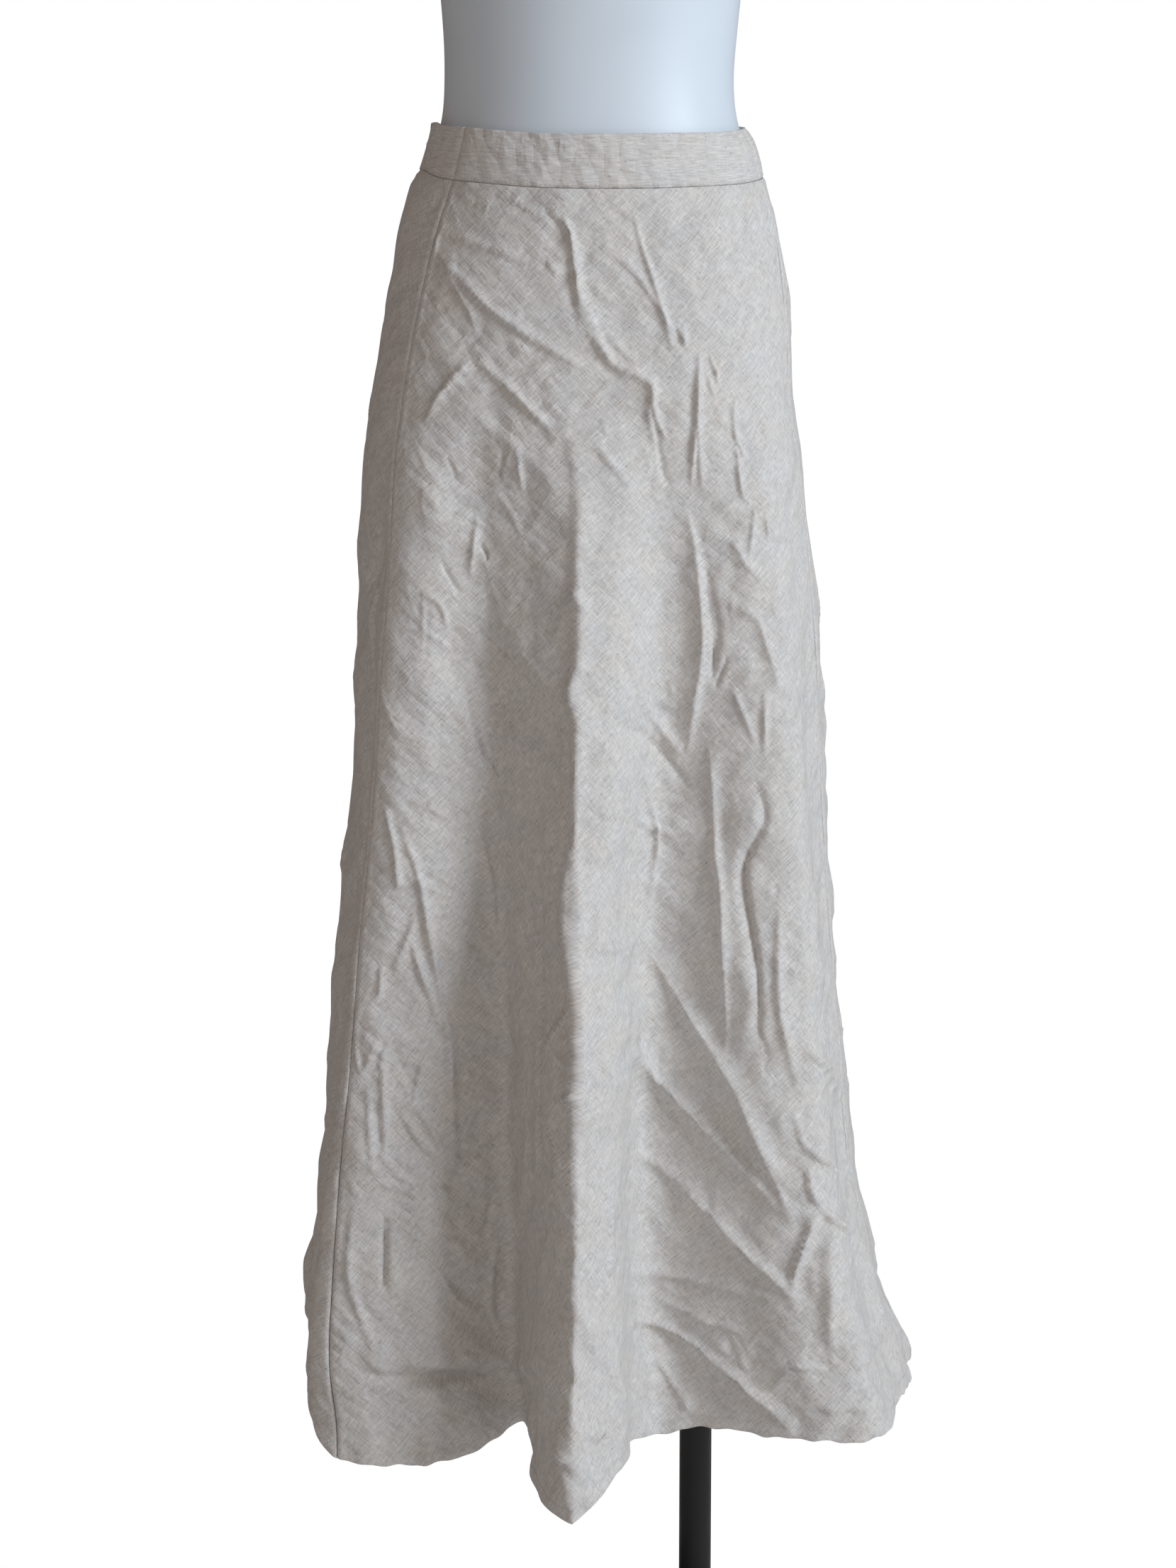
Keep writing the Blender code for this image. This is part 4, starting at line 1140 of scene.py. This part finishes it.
def stitch_tree():
    """Stitches laid end to end along the paths of a mesh of edges."""
    tree = bpy.data.node_groups.new("stitches along a seam", "GeometryNodeTree")
    for name, direction, kind in (
        ("Seam lines", "INPUT", "NodeSocketGeometry"),
        ("Pitch", "INPUT", "NodeSocketFloat"),
        ("Length", "INPUT", "NodeSocketFloat"),
        ("Radius", "INPUT", "NodeSocketFloat"),
        ("Unevenness", "INPUT", "NodeSocketFloat"),
        ("Seed", "INPUT", "NodeSocketInt"),
        ("Thread", "INPUT", "NodeSocketMaterial"),
        ("Stitches", "OUTPUT", "NodeSocketGeometry"),
    ):
        tree.interface.new_socket(name, in_out=direction, socket_type=kind)
    given = add_node(tree, "NodeGroupInput").outputs
    curve = add_node(tree, "GeometryNodeMeshToCurve", {"Mesh": given["Seam lines"]})
    spaced = add_node(tree, "GeometryNodeResampleCurve", {
        "Curve": curve.outputs["Curve"], "Length": given["Pitch"],
    }, mode="LENGTH")
    tangent = add_node(tree, "GeometryNodeInputTangent")
    facing = add_node(tree, "FunctionNodeAlignRotationToVector", {
        "Vector": tangent.outputs["Tangent"],
    }, axis="Z")
    chance = add_node(tree, "FunctionNodeRandomValue", {
        "Min": (-1.0, -1.0, -1.0), "Max": (1.0, 1.0, 1.0), "Seed": given["Seed"],
    }, data_type="FLOAT_VECTOR")
    tilt = add_node(tree, "ShaderNodeVectorMath", {
        0: chance.outputs["Value"], "Scale": given["Unevenness"],
    }, operation="SCALE")
    turn = add_node(tree, "FunctionNodeRotateRotation", {
        "Rotation": facing.outputs["Rotation"], "Rotate By": tilt.outputs["Vector"],
    }, rotation_space="LOCAL")
    thick = add_node(tree, "ShaderNodeCombineXYZ", {"X": given["Radius"], "Y": given["Radius"]})
    half = add_node(tree, "ShaderNodeMath", {0: given["Length"], 1: 0.5}, operation="MULTIPLY")
    tree.links.new(half.outputs["Value"], thick.inputs["Z"])
    grain = add_node(tree, "GeometryNodeMeshUVSphere", {"Segments": 6, "Rings": 5, "Radius": 1.0})
    placed = add_node(tree, "GeometryNodeInstanceOnPoints", {
        "Points": spaced.outputs["Curve"],
        "Instance": grain.outputs["Mesh"],
        "Rotation": turn.outputs["Rotation"],
        "Scale": thick.outputs["Vector"],
    })
    real = add_node(tree, "GeometryNodeRealizeInstances", {"Geometry": placed.outputs["Instances"]})
    smooth = add_node(tree, "GeometryNodeSetShadeSmooth", {"Geometry": real.outputs["Geometry"]})
    coloured = add_node(tree, "GeometryNodeSetMaterial", {
        "Geometry": smooth.outputs["Geometry"], "Material": given["Thread"],
    })
    add_node(tree, "NodeGroupOutput", {"Stitches": coloured.outputs["Geometry"]})
    return tree


def make_stitches(lines, thread):
    """One mesh with the stitches of every seam line."""
    points = []
    edges = []
    for line in lines:
        first = len(points)
        points += [tuple(point) for point in line]
        edges += [(index, index + 1) for index in range(first, len(points) - 1)]
    paths = bpy.data.meshes.new("seam lines")
    paths.from_pydata(points, edges, [])
    carrier = bpy.data.objects.new("seam lines", paths)
    bpy.context.scene.collection.objects.link(carrier)
    tree = stitch_tree()
    sockets = {item.name: item.identifier for item in tree.interface.items_tree if item.in_out == "INPUT"}
    sewing = carrier.modifiers.new("sewing", "NODES")
    sewing.node_group = tree
    values = {
        "Pitch": STITCH_PITCH,
        "Length": STITCH_LENGTH,
        "Radius": THREAD_RADIUS,
        "Unevenness": STITCH_UNEVENNESS,
        "Seed": STITCH_SEED,
        "Thread": thread,
    }
    for name, value in values.items():
        sewing[sockets[name]] = value
    ready = carrier.evaluated_get(bpy.context.evaluated_depsgraph_get())
    mesh = bpy.data.meshes.new_from_object(ready)
    mesh.name = "seam_stitches"
    bpy.data.objects.remove(carrier, do_unlink=True)
    return add_piece("seam_stitches", mesh, thread)


def make_stand(black_steel):
    """The pole, its socket and collar, and the round base, from profiles of radius and height."""
    bore = POLE_RADIUS + PIECE_GAP
    under_form = FORM_SECTIONS[0][0]
    foot = BASE_THICKNESS + PIECE_GAP
    head = under_form - FLANGE_THICKNESS - 2 * PIECE_GAP
    pole = make_turned("stand_pole", [
        (0.0, head),
        (POLE_RADIUS, head),
        (POLE_RADIUS, foot),
        (0.0, foot),
    ], (POLE_X, 0.0, 0.0), 0.0006, black_steel)
    socket = make_turned("stand_socket", [
        (0.0, 0.0),
        (FLANGE_RADIUS, 0.0),
        (FLANGE_RADIUS, -FLANGE_THICKNESS),
        (SOCKET_RADIUS, -0.008),
        (SOCKET_RADIUS, -SOCKET_DEPTH),
        (bore, -SOCKET_DEPTH),
        (bore, -FLANGE_THICKNESS),
        (0.0, -FLANGE_THICKNESS),
    ], (POLE_X, 0.0, under_form - PIECE_GAP), 0.0008, black_steel)
    collar = make_turned("stand_collar", [
        (bore, COLLAR_HEIGHT),
        (0.0165, COLLAR_HEIGHT),
        (0.0165, 0.0145),
        (0.0185, 0.0105),
        (COLLAR_RADIUS, 0.0063),
        (COLLAR_RADIUS, 0.0),
        (bore, 0.0),
        (bore, COLLAR_HEIGHT),
    ], (POLE_X, 0.0, foot), 0.0008, black_steel)
    plate = make_turned("stand_plate", [
        (0.0, BASE_THICKNESS),
        (BASE_RADIUS - BASE_CHAMFER, BASE_THICKNESS),
        (BASE_RADIUS, BASE_THICKNESS - BASE_CHAMFER),
        (BASE_RADIUS, 0.0),
        (0.0, 0.0),
    ], (0.0, 0.0, 0.0), 0.0005, black_steel, steps=160)
    for piece, node in (
        (pole, "pole"),
        (socket, "form_socket"),
        (collar, "base_collar"),
        (plate, "base_plate"),
    ):
        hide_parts(node)


def make_neck_cap(form_shell):
    """The low dome that closes the neck."""
    turns = np.linspace(0.0, np.pi / 2, 16)
    profile = [(CAP_RADIUS * math.sin(turn), CAP_HEIGHT * (0.35 + 0.65 * math.cos(turn))) for turn in turns]
    profile += [(CAP_RADIUS, 0.0), (0.0, 0.0)]
    centre = (0.0, 0.0, FORM_SECTIONS[-1][0] + PIECE_GAP)
    cap = make_turned("form_neck_cap", profile, centre, 0.0008, form_shell)
    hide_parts("neck_cap")


def make_studio():
    """A white surround, a large cool light at the right, a faint one in front, and a floor."""
    scene = bpy.context.scene
    world = bpy.data.worlds.new("studio")
    world.use_nodes = True
    scene.world = world
    tree = world.node_tree
    tree.nodes.clear()
    path = add_node(tree, "ShaderNodeLightPath").outputs["Is Camera Ray"]
    seen = add_node(tree, "ShaderNodeBackground", {"Color": (1.0, 1.0, 1.0, 1.0), "Strength": 1.0})
    fill = add_node(tree, "ShaderNodeBackground", {"Color": (1.0, 0.84, 0.73, 1.0), "Strength": 0.20})
    both = add_node(tree, "ShaderNodeMixShader", {
        0: path, 1: fill.outputs["Background"], 2: seen.outputs["Background"],
    })
    add_node(tree, "ShaderNodeOutputWorld", {"Surface": both.outputs["Shader"]})

    for name, place, width, height, power, colour in LIGHTS:
        light = bpy.data.lights.new(name, "AREA")
        light.shape = "RECTANGLE"
        light.size = width
        light.size_y = height
        light.energy = power
        light.color = colour
        lamp = bpy.data.objects.new(name, light)
        lamp.location = place
        aim = lamp.location - Vector(LIGHT_AIM)
        lamp.rotation_euler = aim.to_track_quat("Z", "Y").to_euler()
        scene.collection.objects.link(lamp)

    paper = bpy.data.materials.new("white studio floor")
    paper.use_nodes = True
    tree = paper.node_tree
    shader = tree.nodes["Principled BSDF"]
    shader.inputs["Base Color"].default_value = linear("#E6E4E1")
    shader.inputs["Roughness"].default_value = 0.9
    path = add_node(tree, "ShaderNodeLightPath").outputs["Is Camera Ray"]
    bright = add_node(tree, "ShaderNodeEmission", {"Color": (1.0, 1.0, 1.0, 1.0), "Strength": 1.0})
    both = add_node(tree, "ShaderNodeMixShader", {
        0: path, 1: shader.outputs["BSDF"], 2: bright.outputs["Emission"],
    })
    tree.links.new(both.outputs["Shader"], tree.nodes["Material Output"].inputs["Surface"])
    mesh = bpy.data.meshes.new("floor")
    turns = ((-1.0, -1.0), (1.0, -1.0), (1.0, 1.0), (-1.0, 1.0))
    corners = [(FLOOR_REACH * across, FLOOR_REACH * deep, 0.0) for across, deep in turns]
    mesh.from_pydata(corners, [], [(0, 1, 2, 3)])
    mesh.materials.append(paper)
    floor = bpy.data.objects.new("floor", mesh)
    scene.collection.objects.link(floor)


def make_camera():
    """The photograph's view, from the front and a little above the waist's middle."""
    lens = bpy.data.cameras.new("camera")
    lens.sensor_width = 36.0
    lens.lens = lens.sensor_width * LENS_PIXELS / PHOTO_HEIGHT
    camera = bpy.data.objects.new("camera", lens)
    camera.location = (0.0, -LENS_DISTANCE, LENS_HEIGHT)
    camera.rotation_euler = (math.pi / 2 - math.atan(LENS_DROP / LENS_PIXELS), 0.0, 0.0)
    bpy.context.scene.collection.objects.link(camera)
    bpy.context.scene.camera = camera


def main():
    """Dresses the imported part."""
    make_camera()
    make_studio()
    bpy.context.scene.view_settings.view_transform = "Standard"
    bias_linen = make_linen("washed linen on the bias", 42.0, 0.8)
    band_linen = make_linen("washed linen along the band", 0.0, 0.3)
    thread = make_thread_with_painted_shade()
    form_shell = make_form_shell()
    black_steel = make_black_steel()

    torso = make_torso(form_shell)
    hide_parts("form_torso")
    make_neck_cap(form_shell)
    make_stand(black_steel)

    front, front_hem = make_panel(
        "skirt_front_cloth", FRONT_SPAN, FRONT_GRID,
        FRONT_CREASES, FRONT_SMALL_CREASES, FRONT_SEED, bias_linen,
    )
    back, back_hem = make_panel(
        "skirt_back_cloth", BACK_SPAN, BACK_GRID,
        BACK_CREASES, BACK_SMALL_CREASES, BACK_SEED, bias_linen,
    )
    band_front, front_seam = make_band(
        "waistband_front_cloth", FRONT_SPAN, BAND_FRONT_COLUMNS, BAND_FRONT_SEED, False, band_linen,
    )
    band_back, back_seam = make_band(
        "waistband_back_cloth", BACK_SPAN, BAND_BACK_COLUMNS, BAND_BACK_SEED, True, band_linen,
    )
    stitches = make_stitches((front_hem, back_hem, front_seam, back_seam), thread)

    for piece, node in (
        (front, "skirt_front"),
        (back, "skirt_back"),
        (band_front, "waistband_front"),
        (band_back, "waistband_back"),
    ):
        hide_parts(node)


main()
